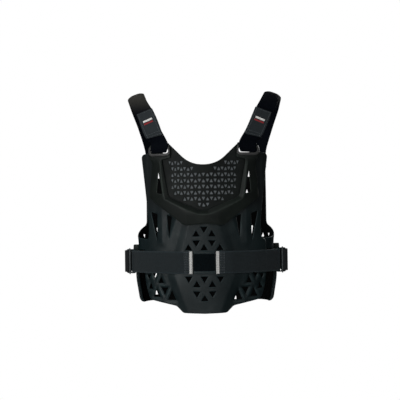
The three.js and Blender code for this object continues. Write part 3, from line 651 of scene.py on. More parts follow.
def new_piece(name, points, faces, material, uv=None):
    """A mesh object at the origin from points in millimetres, shaded smooth with sharp corners kept."""
    placed = (np.asarray(points) + (0, 0, HEM)) * MM
    mesh = bpy.data.meshes.new(name)
    mesh.from_pydata(placed.tolist(), [], faces)
    mesh.update()
    mesh.calc_loop_triangles()
    index = np.zeros(len(mesh.loop_triangles) * 3, np.int32)
    mesh.loop_triangles.foreach_get("vertices", index)
    corners = placed[index.reshape(-1, 3)]
    volume = np.sum(corners[:, 0] * np.cross(corners[:, 1], corners[:, 2]))
    if volume < 0:
        mesh.flip_normals()
    if uv is not None:
        layer = mesh.uv_layers.new(name="UVMap")
        owner = np.zeros(len(mesh.loops), np.int32)
        mesh.loops.foreach_get("vertex_index", owner)
        layer.data.foreach_set("uv", np.asarray(uv)[owner].astype(np.float32).ravel())
    mesh.polygons.foreach_set("use_smooth", np.ones(len(mesh.polygons), bool))
    mesh.set_sharp_from_angle(angle=math.radians(SHARP_FROM))
    mesh.materials.append(material)
    piece = bpy.data.objects.new(name, mesh)
    bpy.context.scene.collection.objects.link(piece)
    return piece


def mould(name, outlines, place, wall, material, fineness):
    """A moulded piece from its outline and holes, drawn as finely as a row of FINENESS says."""
    outline_step, radius, step, inner_step = fineness
    loops = [rounded(outline, outline_step) for outline in outlines]
    return new_piece(name, *panel(loops, place, wall, radius, step, inner_step), material)


def large_fineness(step):
    """How finely a large moulding is drawn, from its surface step and the sizes set for the finish."""
    sizes = bpy.context.scene.protector_sizes
    return step, sizes.edge_radius / MM, step, sizes.inner_step / MM


def worked_out(piece):
    """The points of a piece as x, y and height from the hem, in millimetres."""
    points = np.zeros(3 * len(piece.data.vertices), np.float32)
    piece.data.vertices.foreach_get("co", points)
    x, y, z = points.reshape(-1, 3).T / MM
    return x, y, z - HEM


def mark(piece, name, domain, values):
    """Stores a number for each point or face of a piece, which its material reads."""
    attribute = piece.data.attributes.new(name, "FLOAT", domain)
    attribute.data.foreach_set("value", np.asarray(values, np.float32))


def mark_inside(piece, lip_from=None):
    """Marks the faces of a shell that look at the wearer, behind the depth where a lip starts, which are
    painted almost black as a painted shade.

    The front shell has no lip. Its arms are marked in part, so that they take part of the painted shade.
    """
    mesh = piece.data
    normals, middles = (np.zeros(3 * len(mesh.polygons), np.float32) for _ in range(2))
    mesh.polygons.foreach_get("normal", normals)
    mesh.polygons.foreach_get("center", middles)
    heights = middles.reshape(-1, 3)[:, 2] / MM - HEM
    middles = middles.reshape(-1, 3)[:, :2]
    outward = np.sum(normals.reshape(-1, 3)[:, :2] * middles, axis=1) / np.linalg.norm(middles, axis=1)
    inward = outward < -INWARD
    arm_shade = 0
    if lip_from is None:
        arm_shade = ARM["arm_shade"] * ramp(heights, ARM["from"], ARM["full"])
    else:
        inward &= middles[:, 1] > lip_from * MM
    mark(piece, "inside", "FACE", np.where(inward, 1.0, arm_shade))


def mark_rims(piece):
    """Marks the points on the half-round rims of the strap slots, which are made glossier and painted paler
    as a painted highlight.
    """
    x, y, z = worked_out(piece)
    proud = y < torso_front(x, z) - YOKE["lug_rise"] - RIM["proud"]
    mark(piece, "gloss_and_highlight", "POINT", np.where(proud, rim_bead(np.abs(x), z) / RIM["rise"], 0))


def mark_painted_sheen(piece):
    """Marks the points of a strap that are painted paler as a painted sheen, more towards the top of the
    shoulder.
    """
    mark(piece, "painted_sheen", "POINT", ramp(worked_out(piece)[2], STRAP_SHEEN["from"], STRAP_SHEEN["full"]))


def settle(piece, slot, *nodes):
    """The piece rides on the one body and stands for CAD nodes. Its slot is not used."""
    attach(piece, "root")
    if nodes:
        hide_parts(*nodes)


def catmull(points, shares):
    """Points along a centripetal curve through rows of points, at shares of its rows."""
    points = np.asarray(points, float)
    ends = [2 * points[0] - points[1], *points, 2 * points[-1] - points[-2]]
    rows = np.array(ends)
    at = np.clip(shares, 0, 1) * (len(points) - 1)
    i = np.minimum(at.astype(int), len(points) - 2)
    t = (at - i)[:, None]
    p0, p1, p2, p3 = (rows[i + k] for k in range(4))
    runs = (p1 - p0, p2 - p1, p3 - p2)
    d0, d1, d2 = (np.linalg.norm(run, axis=1, keepdims=True) ** 0.5 for run in runs)
    leave = ((p1 - p0) / d0 - (p2 - p0) / (d0 + d1) + (p2 - p1) / d1) * d1
    arrive = ((p2 - p1) / d1 - (p3 - p1) / (d1 + d2) + (p3 - p2) / d2) * d1
    s = 1 - t
    ends = p1 * s * s * (1 + 2 * t) + p2 * t * t * (3 - 2 * t)
    return ends + leave * t * s * s - arrive * t * t * s


class Ribbon:
    """A flat strap between two edge curves, given as rows of inner and outer edge points."""

    CELLS = 12
    BENDS = np.radians([30, 60, 90, 120, 150])

    def __init__(self, rows, count, start=0.0):
        self.shares = np.linspace(start, 1.0, count + 1)
        self.inner = catmull([row[0] for row in rows], self.shares)
        across = catmull([row[1] for row in rows], self.shares) - self.inner
        self.width = np.linalg.norm(across, axis=1)
        self.across = across / self.width[:, None]
        middle = self.inner + across / 2
        steps = np.linalg.norm(np.diff(middle, axis=0), axis=1)
        self.along = np.concatenate([[0], np.cumsum(steps)])
        run = np.gradient(middle, axis=0)
        normal = np.cross(run, across)
        self.normal = normal / np.linalg.norm(normal, axis=1, keepdims=True)
        self.crown = np.zeros(len(self.shares))

    @property
    def length(self):
        return self.along[-1]

    def points(self, rows, u, out):
        """Points on some rows, a distance u from the inner edge and out from the middle layer.

        Where the strap is crowned, its edges bend along the normal.
        """
        off = np.abs(2 * u / self.width[rows][:, None] - 1)
        bent = out + self.crown[rows][:, None] * off ** 3
        return self.inner[rows] + self.across[rows] * u + self.normal[rows] * bent

    def mesh(self, thick, out=0.0):
        """Vertices, faces and a UV in millimetres of the strap as a closed band with round edges."""
        half = thick / 2
        flat = np.linspace(0, 1, self.CELLS + 1)
        section = [(share, 0.0, 1.0) for share in flat]
        section += [(1.0, math.sin(b), math.cos(b)) for b in self.BENDS]
        section += [(share, 0.0, -1.0) for share in flat[::-1]]
        section += [(0.0, -math.sin(b), -math.cos(b)) for b in self.BENDS]
        rows = np.arange(len(self.shares))
        vertices, uv = [], []
        for share, past, lift in section:
            u = half + share * (self.width - thick) + past * half
            vertices.append(self.points(rows, u[:, None], out + lift * half))
            uv.append(np.stack([u, self.along], axis=1))
        vertices = np.stack(vertices, axis=1).reshape(-1, 3)
        uv = np.stack(uv, axis=1).reshape(-1, 2)
        n = len(section)
        faces = [
            (k * n + j, k * n + (j + 1) % n, (k + 1) * n + (j + 1) % n, (k + 1) * n + j)
            for k in range(len(rows) - 1) for j in range(n)
        ]
        faces.append(tuple(range(n))[::-1])
        faces.append(tuple((len(rows) - 1) * n + j for j in range(n)))
        return vertices, faces, uv

    def line(self, u, out, start, end):
        """A row of points along the strap, from one length to another."""
        rows = np.flatnonzero((self.along >= start) & (self.along <= end))
        return self.points(rows, u, out)

    def cross(self, along, out, start, end, count=24):
        """A row of points across the strap at one length."""
        row = int(np.argmin(np.abs(self.along - along)))
        u = np.linspace(start, end, count)[:, None]
        return self.inner[row] + self.across[row] * u + self.normal[row] * out

    def patch(self, start, end, u_from, u_to):
        """A smaller ribbon on this one, between two lengths and two distances from its inner edge."""
        part = Ribbon.__new__(Ribbon)
        rows = np.flatnonzero((self.along >= start) & (self.along <= end))
        part.shares = self.shares[rows]
        part.inner = self.inner[rows] + self.across[rows] * u_from
        part.across, part.normal = self.across[rows], self.normal[rows]
        part.width = np.full(len(rows), u_to - u_from)
        part.crown = self.crown[rows]
        part.along = self.along[rows] - self.along[rows[0]]
        return part


def lay(name, ribbon, thick, material, out=0.0):
    """A piece of webbing along a ribbon."""
    points, faces, uv = ribbon.mesh(thick, out)
    return new_piece(name, points, faces, material, uv)


def add_node(tree, kind, inputs=None, **settings):
    """Adds a node, gives it its settings, and fills or links its inputs by name or number."""
    made = tree.nodes.new(kind)
    for name, value in settings.items():
        setattr(made, name, value)
    for name, value in (inputs or {}).items():
        if isinstance(value, bpy.types.NodeSocket):
            tree.links.new(value, made.inputs[name])
        else:
            made.inputs[name].default_value = value
    return made


def object_place(tree):
    return add_node(tree, "ShaderNodeTexCoord").outputs["Object"]


def marked(tree, name):
    """The number that a piece carries under a name."""
    return add_node(tree, "ShaderNodeAttribute", attribute_name=name).outputs["Fac"]


def noise(tree, place, size, detail=2.0):
    """Noise with features of a size, in the unit of its place."""
    inputs = {"Vector": place, "Scale": 1 / size, "Detail": detail}
    return add_node(tree, "ShaderNodeTexNoise", inputs).outputs[0]


def waves(tree, place, pitch, direction):
    """Bands at a pitch, in the unit of their place."""
    inputs = {"Vector": place, "Scale": math.pi / 10 / pitch}
    return add_node(tree, "ShaderNodeTexWave", inputs, bands_direction=direction).outputs[1]


def maths(tree, operation, first, second):
    return add_node(tree, "ShaderNodeMath", {0: first, 1: second}, operation=operation).outputs[0]


def mapped(tree, value, low, high, to_low=0.0, to_high=1.0):
    """A value carried from one range to another and kept within it."""
    inputs = {0: value, 1: low, 2: high, 3: to_low, 4: to_high}
    return add_node(tree, "ShaderNodeMapRange", inputs).outputs[0]


def mixed_value(tree, share, first, second):
    """One number that turns into another by a share."""
    return add_node(tree, "ShaderNodeMix", {0: share, 2: first, 3: second}).outputs[0]


def mixed_colour(tree, share, first, second):
    """One colour that turns into another by a share."""
    return add_node(tree, "ShaderNodeMix", {0: share, 6: first, 7: second}, data_type="RGBA").outputs[2]


def bumped(tree, height, strength, distance):
    inputs = {"Strength": strength, "Distance": distance, "Height": height}
    return add_node(tree, "ShaderNodeBump", inputs).outputs[0]


def shaded(colour, factor=1.0):
    """A colour made darker or paler, with alpha."""
    return (*(factor * c for c in colour), 1.0)


def surfaced(material, inputs):
    """Gives a material its Principled surface."""
    tree = material.node_tree
    shader = add_node(tree, "ShaderNodeBsdfPrincipled", inputs)
    add_node(tree, "ShaderNodeOutputMaterial", {"Surface": shader.outputs[0]})
    return material


def new_material(name):
    """An empty material with its tree."""
    material = bpy.data.materials.new(name)
    material.use_nodes = True
    material.node_tree.nodes.clear()
    return material, material.node_tree


def made_once(make):
    """Lets pieces share a material: one that exists under the name is given back."""
    @functools.wraps(make)
    def find_or_make(name, *looks, **more_looks):
        return bpy.data.materials.get(name) or make(name, *looks, **more_looks)
    return find_or_make


@made_once
def moulded_polyethylene(name, dark, light, roughness, specular):
    """Satin moulded polyethylene: soft broad highlights, a fine spark-eroded grain, faint paler patches and
    edges painted paler, partly by wear and partly as a painted highlight. Marked rim points are glossier and
    painted paler as a painted highlight. Faces marked as inside are dead matt and painted almost black as a
    painted shade, and a part mark gives a face part of that painted shade.

    The real grain is about 0.4 mm and too fine to show, so it is drawn at 1.4 mm.
    """
    material, tree = new_material(name)
    place = object_place(tree)
    corner = add_node(tree, "ShaderNodeNewGeometry").outputs["Pointiness"]
    gloss_and_highlight, inside = marked(tree, "gloss_and_highlight"), marked(tree, "inside")
    patches = mapped(tree, noise(tree, place, 45 * MM, 3.0), 0.35, 0.75)
    # Convex edges turn paler, partly by wear and partly as a painted highlight
    wear_and_highlight = mapped(tree, corner, 0.51, 0.57, 0.0, 0.8)
    # The slot rims are painted a pale grey, a painted highlight
    rim = (sum(light) / 3,) * 3
    tone = mixed_colour(tree, patches, shaded(dark), shaded(light))
    tone = mixed_colour(tree, wear_and_highlight, tone, shaded(light, PLASTIC["worn"]))
    tone = mixed_colour(tree, gloss_and_highlight, tone, shaded(rim, PLASTIC["rim"]))
    # Faces marked as inside are painted almost black, a painted shade
    tone = mixed_colour(tree, inside, tone, shaded(dark, PLASTIC["inside"]))
    smears = noise(tree, place, 14 * MM, 4.0)
    gloss = mapped(tree, smears, 0.3, 0.7, roughness - 0.07, roughness + 0.08)
    gloss = mixed_value(tree, gloss_and_highlight, gloss, PLASTIC["rim_roughness"])
    gloss = mixed_value(tree, inside, gloss, 1.0)
    grain = bumped(tree, noise(tree, place, 1.4 * MM), 0.16, 0.4 * MM)
    return surfaced(material, {
        "Base Color": tone, "Roughness": gloss, "IOR": 1.5, "Normal": grain, "Specular IOR Level": specular})


@made_once
def foam_liner(name, colour):
    """Closed-cell foam: pale, matt and finely pitted, with cells drawn at 2 mm."""
    material, tree = new_material(name)
    inputs = {"Vector": object_place(tree), "Scale": 1 / (2 * MM)}
    cells = add_node(tree, "ShaderNodeTexVoronoi", inputs).outputs[0]
    tone = mixed_colour(tree, mapped(tree, cells, 0.0, 0.8), shaded(colour), shaded(colour, 0.72))
    return surfaced(material, {
        "Base Color": tone, "Roughness": 0.85, "IOR": 1.45, "Normal": bumped(tree, cells, 0.3, 0.5 * MM)})


@made_once
def woven(name, colour, across, along, depth, roughness=0.85, specular=0.5, sheen=0.1, pale=1.6,
          edge_highlight=None, painted_sheen=None):
    """A woven band: ribs across and along its own length, read from a UV map in millimetres.

    Threads of about 0.5 mm are too fine to show, so the ribs are drawn at the pitches given. A band given a
    width for its edges has them painted paler, a painted highlight. A band given a sheen colour turns to that
    colour where it is marked, a painted sheen.
    """
    material, tree = new_material(name)
    place = add_node(tree, "ShaderNodeUVMap", uv_map="UVMap").outputs[0]
    ribs = maths(tree, "ADD", waves(tree, place, across, "X"), waves(tree, place, along, "Y"))
    weave = maths(tree, "MULTIPLY", ribs, noise(tree, place, WEAVE["fluff"], 4.0))
    high = mapped(tree, weave, 0.2, 1.1)
    tone = mixed_colour(tree, high, shaded(colour, WEAVE["valley"]), shaded(colour, pale))
    # The band's edges are painted paler, a painted highlight
    if edge_highlight is not None:
        from_edge = add_node(tree, "ShaderNodeSeparateXYZ", {0: place}).outputs[0]
        from_edge = maths(tree, "PINGPONG", from_edge, edge_highlight / 2)
        full, end = WEAVE["selvage_full"], WEAVE["selvage_end"]
        edge = mapped(tree, from_edge, full, end, WEAVE["selvage_share"], 0.0)
        tone = mixed_colour(tree, edge, tone, shaded(colour, WEAVE["edge_highlight"]))
    # Where the band is marked it is painted paler, a painted sheen
    if painted_sheen is not None:
        tone = mixed_colour(tree, marked(tree, "painted_sheen"), tone, shaded(painted_sheen))
    bump = bumped(tree, weave, 0.6, depth * MM)
    return surfaced(material, {
        "Base Color": tone, "Roughness": roughness, "IOR": 1.5, "Normal": bump,
        "Specular IOR Level": specular, "Sheen Weight": sheen, "Sheen Roughness": 0.5})


@made_once
def loop_pile(name, colour):
    """Brushed loop pile: a fuzzy nap that catches light from the side, with tufts drawn at 1.5 mm."""
    material, tree = new_material(name)
    tufts = noise(tree, object_place(tree), 1.5 * MM, 5.0)
    tone = mixed_colour(tree, mapped(tree, tufts, 0.35, 0.7), shaded(colour, 0.6), shaded(colour, 2.2))
    return surfaced(material, {
        "Base Color": tone, "Roughness": 0.95, "IOR": 1.5, "Normal": bumped(tree, tufts, 0.8, 0.9 * MM),
        "Specular IOR Level": 0.12, "Sheen Weight": 0.06, "Sheen Roughness": 0.35})


@made_once
def sewing_thread(name, colour):
    """Spun polyester thread: matt with a slight sheen and a twist drawn at 0.6 mm."""
    material, tree = new_material(name)
    twist = noise(tree, object_place(tree), 0.6 * MM)
    tone = mixed_colour(tree, twist, shaded(colour, 0.75), shaded(colour, 1.2))
    return surfaced(material, {"Base Color": tone, "Roughness": 0.7, "IOR": 1.5, "Sheen Weight": 0.2})


@made_once
def studio_paper(name, colour):
    """Matt white paper on a light table: a faint tooth, lit from below so that no horizon shows."""
    material, tree = new_material(name)
    tooth = noise(tree, object_place(tree), 1 / 60)
    return surfaced(material, {
        "Base Color": shaded(colour), "Roughness": 0.9, "Normal": bumped(tree, tooth, 0.05, 1 * MM),
        "Emission Color": shaded(colour), "Emission Strength": 1.0})


def stitch_tree():
    """Geometry nodes that lay stitches along the edges of a mesh."""
    name = "Stitch rows"
    if name in bpy.data.node_groups:
        return bpy.data.node_groups[name]
    tree = bpy.data.node_groups.new(name, "GeometryNodeTree")
    sockets = [("Geometry", "Geometry"), ("Pitch", "Float"), ("Length", "Float"), ("Thread", "Float"),
               ("Material", "Material")]
    for label, kind in sockets:
        tree.interface.new_socket(label, in_out="INPUT", socket_type="NodeSocket" + kind)
    tree.interface.new_socket("Geometry", in_out="OUTPUT", socket_type="NodeSocketGeometry")
    given = add_node(tree, "NodeGroupInput").outputs
    curve = add_node(tree, "GeometryNodeMeshToCurve", {"Mesh": given["Geometry"]})
    spaced = add_node(tree, "GeometryNodeResampleCurve",
                      {"Curve": curve.outputs[0], "Length": given["Pitch"]}, mode="LENGTH")
    tangent = add_node(tree, "GeometryNodeInputTangent")
    turn = add_node(tree, "FunctionNodeAlignRotationToVector", {"Vector": tangent.outputs[0]}, axis="X")
    bead = add_node(tree, "GeometryNodeMeshUVSphere", {"Segments": 6, "Rings": 4, "Radius": 0.5})
    size = add_node(tree, "ShaderNodeCombineXYZ",
                    {"X": given["Length"], "Y": given["Thread"], "Z": given["Thread"]})
    laid = add_node(tree, "GeometryNodeInstanceOnPoints", {
        "Points": spaced.outputs[0], "Instance": bead.outputs[0], "Rotation": turn.outputs[0],
        "Scale": size.outputs[0]})
    real = add_node(tree, "GeometryNodeRealizeInstances", {0: laid.outputs[0]})
    smooth = add_node(tree, "GeometryNodeSetShadeSmooth", {0: real.outputs[0]})
    dyed = add_node(tree, "GeometryNodeSetMaterial", {0: smooth.outputs[0], "Material": given["Material"]})
    add_node(tree, "NodeGroupOutput", {"Geometry": dyed.outputs[0]})
    return tree


def sew(name, rows, material):
    """Stitches along rows of points, as a plain mesh."""
    sizes = bpy.context.scene.protector_sizes
    points, edges = [], []
    for row in rows:
        start = len(points)
        points += ((np.asarray(row) + (0, 0, HEM)) * MM).tolist()
        edges += [(start + i, start + i + 1) for i in range(len(row) - 1)]
    guide_mesh = bpy.data.meshes.new(name + "_rows")
    guide_mesh.from_pydata(points, edges, [])
    guide = bpy.data.objects.new(name + "_rows", guide_mesh)
    bpy.context.scene.collection.objects.link(guide)
    tree = stitch_tree()
    modifier = guide.modifiers.new("Stitches", "NODES")
    modifier.node_group = tree
    settings = {"Pitch": sizes.stitch_pitch, "Length": sizes.stitch_length, "Thread": sizes.thread,
                "Material": material}
    for item in tree.interface.items_tree:
        if item.in_out == "INPUT" and item.name in settings:
            modifier[item.identifier] = settings[item.name]
    bpy.context.view_layer.update()
    evaluated = guide.evaluated_get(bpy.context.evaluated_depsgraph_get())
    mesh = bpy.data.meshes.new_from_object(evaluated)
    if not len(mesh.polygons):
        raise RuntimeError(f"no stitches were laid for {name}")
    bpy.data.objects.remove(guide)
    mesh.name = name
    piece = bpy.data.objects.new(name, mesh)
    bpy.context.scene.collection.objects.link(piece)
    return piece


def shell_material():
    colours = bpy.context.scene.protector_colours
    name = "moulded_polyethylene_charcoal"
    return moulded_polyethylene(name, colours.shell, colours.shell_light, 0.5, 0.45)


def yoke_material():
    colours = bpy.context.scene.protector_colours
    return moulded_polyethylene("moulded_polyethylene_black", colours.yoke, colours.yoke_light, 0.52, 0.32)


def elastic_material(name, colour, edge_highlight=None):
    pitch = bpy.context.scene.protector_sizes.rib_pitch / MM
    return woven(name, colour, pitch, 1.9, 0.5, edge_highlight=edge_highlight)


def webbing_material():
    scene = bpy.context.scene
    colours, pitch = scene.protector_colours, scene.protector_sizes.weave_pitch / MM
    return woven("woven_nylon_webbing", colours.webbing, 3.0, pitch, 0.6, roughness=0.65, specular=0.04,
                 sheen=0.04, pale=1.9, painted_sheen=colours.painted_sheen)


def thread_material():
    return sewing_thread("spun_polyester_thread", bpy.context.scene.protector_colours.thread)


class PROTECTOR_OT_front_shell(bpy.types.Operator):
    """Build the moulded front shell with its vents, side slots and belt bars"""

    bl_idname = "protector.front_shell"
    bl_label = "Front shell"

    def execute(self, context):
        step = context.scene.protector_sizes.surface_step / MM
        corner = VENT_CORNER["front"]
        holes = [c for x, z, up in SPINE_VENTS for c in vent_pair(x, z, *SPINE_VENT, up, corner)]
        holes += [c for vent in FLANK_VENTS for c in vent_pair(*vent, corner)]
        holes += [c for slot in SIDE_SLOTS for c in pair(slot)]
        wall = between(shell_face, behind(shell_face, WALL))
        shell = mould("moulded_front_shell", [whole(FRONT_OUTLINE), *holes], wall, WALL, shell_material(),
                      large_fineness(step))
        mark_inside(shell)
        settle(shell, "shell_plastic", "front_shell")
        half, tall = PATCH["half_width"], PATCH["bar"] / 2
        reach = PATCH["half_height"] + CLEAR + tall
        raised_bar = between(raised(shell_crown, PATCH["bar_rise"]), raised(shell_crown, PATCH["bar_seat"]))
        for label, side in (("upper", 1), ("lower", -1)):
            middle = BELT["middle"] + side * reach
            outline = rectangle(-half, half, middle - tall, middle + tall, PATCH["corner"])
            bar = mould(f"belt_bar_{label}", [outline], raised_bar, PATCH["bar_rise"], shell_material(),
                        FINENESS["belt_bar"])
            settle(bar, "shell_plastic")
        return {"FINISHED"}


class PROTECTOR_OT_chest_yoke(bpy.types.Operator):
    """Build the faceted chest yoke with its teardrop slots and rimmed strap slots"""

    bl_idname = "protector.chest_yoke"
    bl_label = "Chest yoke"

    def execute(self, context):
        step = context.scene.protector_sizes.yoke_step / MM
        slot = rectangle(SLOT["inner"], SLOT["outer"], SLOT["bottom"], SLOT["top"], SLOT["corner"])
        outlines = [whole(YOKE_OUTER + YOKE_INNER), *pair(YOKE_SLOT), *pair(slot)]
        wall = between(yoke_rimmed, yoke_inside)
        yoke = mould("faceted_chest_yoke", outlines, wall, WALL, yoke_material(), large_fineness(step))
        mark_rims(yoke)
        settle(yoke, "yoke_plastic", "chest_yoke")
        return {"FINISHED"}


def vent_outline(margin):
    """The recess's outline, let out by a margin, with the neckline on top."""
    sides = []
    for x, z, *radius in YOKE_INNER[1:]:
        drop = margin if z < VENT["low_below"] else 0
        sides.append((x + (margin if x else 0), z - drop, *radius))
    post = SLOT["inner"] - VENT["post_gap"]
    shoulder, tip = YOKE_INNER[0], NECKLINE[0]
    return sides[::-1] + [(post, *shoulder[1:]), (post, *tip[1:])] + NECKLINE[1:]


class PROTECTOR_OT_chest_vent(bpy.types.Operator):
    """Build the vent panel pierced with small triangles and the foam liner behind it"""

    bl_idname = "protector.chest_vent"
    bl_label = "Chest vent and liner"

    def execute(self, context):
        sizes, colours = context.scene.protector_sizes, context.scene.protector_colours
        step = sizes.yoke_step / MM
        outlines = [whole(vent_outline(VENT["margin"]))]
        for row, (first, last) in enumerate(MESH_ROWS):
            for column in range(first, last + 1):
                x = column * (MESH["pitch"] - MESH["closing"] * column)
                z = MESH["lowest"] + row * MESH["row_pitch"]
                width = MESH["width"] * (1 - MESH["narrowing"] * column)
                up = (row + column) % 2 == 0
                outlines += vent_pair(x, z, width, MESH["height"], up, VENT_CORNER["mesh"])
        wall = between(vent_face, behind(vent_face, VENT["wall"]))
        matt = moulded_polyethylene("moulded_polyethylene_matt", colours.vent, colours.vent_light, 0.58, 0.24)
        vent = mould("pierced_chest_vent", outlines, wall, VENT["wall"], matt,
                     (step, sizes.mesh_edge / MM, step, step * 2))
        settle(vent, "yoke_plastic", "chest_vent")
        outline = [(x, min(z, LINER["top"]), *radius) for x, z, *radius in vent_outline(LINER["margin"])]
        front = VENT["wall"] + LINER["gap"]
        wall = between(behind(vent_face, front), behind(vent_face, front + LINER["wall"]))
        foam = foam_liner("closed_cell_foam", colours.liner)
        liner = mould("foam_vent_liner", [whole(outline)], wall, LINER["wall"], foam, FINENESS["liner"])
        settle(liner, "liner_foam", "vent_liner")
        return {"FINISHED"}


class PROTECTOR_OT_back_shell(bpy.types.Operator):
    """Build the back shell with its two wings"""

    bl_idname = "protector.back_shell"
    bl_label = "Back shell"

    def execute(self, context):
        step = context.scene.protector_sizes.surface_step / MM * BACK_COARSER
        scale = BACK["mm_per_degree"]
        top = [(turn * scale, high, BACK_CORNER) for turn, high, low in BACK_COLUMNS]
        hem = [(turn * scale, low, BACK_CORNER) for turn, high, low in BACK_COLUMNS]
        right = hem[1:] + top[:0:-1]
        outlines = [[hem[0], *right, top[0], *flipped(right)]]
        for turn, z, width, height, up in BACK_VENTS:
            outlines += vent_pair(turn * scale, z, width, height, up, VENT_CORNER["back"])

        def place(a, z, share):
            turn = a / scale
            return back_point(turn, z, back_rise(turn, z) - wing_wall(turn, z) * share)

        shell = mould("moulded_back_shell", outlines, place, WALL, shell_material(), large_fineness(step))
        mark_inside(shell, back_point(LIP["from"], BELT["middle"], 0)[1])
        settle(shell, "shell_plastic", "back_shell")
        return {"FINISHED"}


def strap_rows():
    """Edge points of the right shoulder strap, from the back over the shoulder and round the slot's bar."""
    def on_back(turn, z):
        return back_point(np.array(float(turn)), np.array(float(z)), STRAP["back_clear"] + STRAP["thick"] / 2)

    def on_bar(z, out, tilt=0.0, inset=0.0):
        gap = STRAP["side_gap"] + inset
        ends = np.array([SLOT["inner"] + gap, SLOT["outer"] - gap])
        heights = np.array([z + tilt, z])
        y = torso_front(ends, heights) - YOKE["lug_rise"] - out
        return tuple(zip(ends, y, heights))

    front = STRAP["bar_clear"] + STRAP["thick"] / 2
    back = -(WALL + STRAP["bar_clear"] + STRAP["thick"] / 2)
    low = SLOT["top"] - CLEAR - STRAP["thick"] / 2 - STRAP["fold_drop"]
    fold = on_bar(low, (front + back) / 2, STRAP["fold_tilt"], STRAP["fold_inset"])
    rows = [tuple(on_back(turn, z) for turn in STRAP_BACK["turns"]) for z in STRAP_BACK["heights"]]
    rows += STRAP_OVER + [on_bar(z, back) for z in STRAP_BAR] + [fold]
    return rows + [on_bar(z, front) for z in reversed(STRAP_BAR)] + STRAP_FRONT


def sided(rows, side):
    """Edge rows for the left or the right side."""
    return [tuple(np.asarray(edge, float) * (side, 1, 1) for edge in row) for row in rows]


def settled(rows, side):
    """Strap rows for one side. The left strap's front run has settled a little further in."""
    def leant(edge):
        return edge + (profile(LEAN, edge[2]) if edge[1] < 0 else 0, 0, 0)

    rows = sided(rows, side)
    return rows if side > 0 else [tuple(leant(edge) for edge in row) for row in rows]


class PROTECTOR_OT_shoulder_straps(bpy.types.Operator):
    """Build the shoulder straps, their sewn tabs and the plain bars on them"""

    bl_idname = "protector.shoulder_straps"
    bl_label = "Shoulder straps"

    def execute(self, context):
        colours = context.scene.protector_colours
        rows = strap_rows()
        start = 1 - TAB["steps"] / STRAP["steps"]
        hook = woven("hook_tape_grey", colours.tab, 1.7, 1.7, 0.35, roughness=0.75)
        white = woven("woven_white_bar", colours.tape, 1.2, 1.2, 0.2)
        red = woven("woven_red_bar", colours.red, 1.2, 1.2, 0.2)
        for label, side in SIDES:
            edges = settled(rows, side)
            ribbon = Ribbon(edges, RIBBON_ROWS["strap"])
            ribbon.crown = -side * CROWN["drop"] * ramp(ribbon.inner[:, 2], CROWN["from"], CROWN["full"])
            strap = lay(f"woven_strap_{label}", ribbon, STRAP["thick"], webbing_material())
            # Only the left strap is painted paler towards the top of the shoulder, a painted sheen
            if side < 0:
                mark_painted_sheen(strap)
            settle(strap, "strap_webbing", f"shoulder_strap_{label}")
            end = Ribbon(edges, RIBBON_ROWS["tab"], start)
            wide, high = float(end.width.mean()), end.length
            out = -side * (STRAP["thick"] / 2 + TAB["clear"] + TAB["thick"] / 2)
            tab = lay(f"hook_tab_{label}", end, TAB["thick"], hook, out)
            settle(tab, "strap_tab", f"strap_tab_{label}")
            top = out - side * (TAB["thick"] / 2)
            base = high - LABEL["below_end"]
            for name, material in (("white", white), ("red", red)):
                low, up = LABEL[name]
                bar = end.patch(base + low, base + up, LABEL["inset"], wide - LABEL["inset"])
                bar_out = top - side * LABEL["thick"] / 2
                settle(lay(f"{name}_bar_{label}", bar, LABEL["thick"], material, bar_out), "strap_tab")
            seam = top - side * TAB_SEAM["proud"]
            edge, last = TAB_SEAM["edge"], high - TAB_SEAM["end"]
            rows_sewn = [end.line(u, seam, TAB_SEAM["end"], last) for u in (edge, wide - edge)]
            rows_sewn += [end.cross(at, seam, edge, wide - edge)
                          for at in (TAB_SEAM["end"], TAB_SEAM["second"], last)]
            settle(sew(f"tab_stitches_{label}", rows_sewn, thread_material()), "strap_tab")
        return {"FINISHED"}


def upright(x, y):
    low, high = BELT["middle"] - BELT["width"] / 2, BELT["middle"] + BELT["width"] / 2
    return (x, y, low), (x, y, high)


def belt_seat(x):
    """The most forward place of the shell under the belt at one x."""
    heights = BELT["middle"] + BELT["width"] * np.linspace(-0.5, 0.5, 9)
    return float(shell_crown(np.full_like(heights, x), heights).min()) - BELT["clear"]


def buckle_plan(along, out):
    """Plan of a place at the right buckle, along its frame and out from the frame's middle layer."""
    turn = math.radians(BUCKLE["turn"])
    x = BUCKLE["x"] + along * math.sin(turn) + out * math.cos(turn)
    y = BUCKLE["y"] + along * math.cos(turn) - out * math.sin(turn)
    return x, y


def round_bar(bar, window):
    """Rows round a bar of the buckle, from outside to inside."""
    along = window * (BUCKLE["bar"] / 2 + CLEAR + BELT["thick"] / 2)
    out = BUCKLE["thick"] / 2 + CLEAR + BELT["thick"] / 2
    past, near = bar - window * FOLD["past"], bar + window * FOLD["near"]
    places = [(past, out), (near, out), (bar + along, FOLD["flat"]), (bar + along, -FOLD["flat"]),
              (near, -out), (past, -out)]
    return [upright(*buckle_plan(*place)) for place in places]


def taut(places):
    """The places in plan that a tight band touches."""
    kept = []
    for place in places:
        while len(kept) > 1 and beside((kept[-2], kept[-1]), *place) <= 0:
            kept.pop()
        kept.append(place)
    return kept


def belt_rows():
    """Edge points of the right belt, from its front end over the shell and round the buckle's front bar."""
    reach = BUCKLE["length"] / 2 - BUCKLE["bar"] / 2
    seats = [(x, belt_seat(x) - BELT["thick"] / 2) for x in (BELT["end"], *BELT_SEATS)]
    places = taut(seats + BELT_SPAN)
    return [upright(*place) for place in places] + round_bar(-reach, 1) + [upright(*BELT_TAIL)]


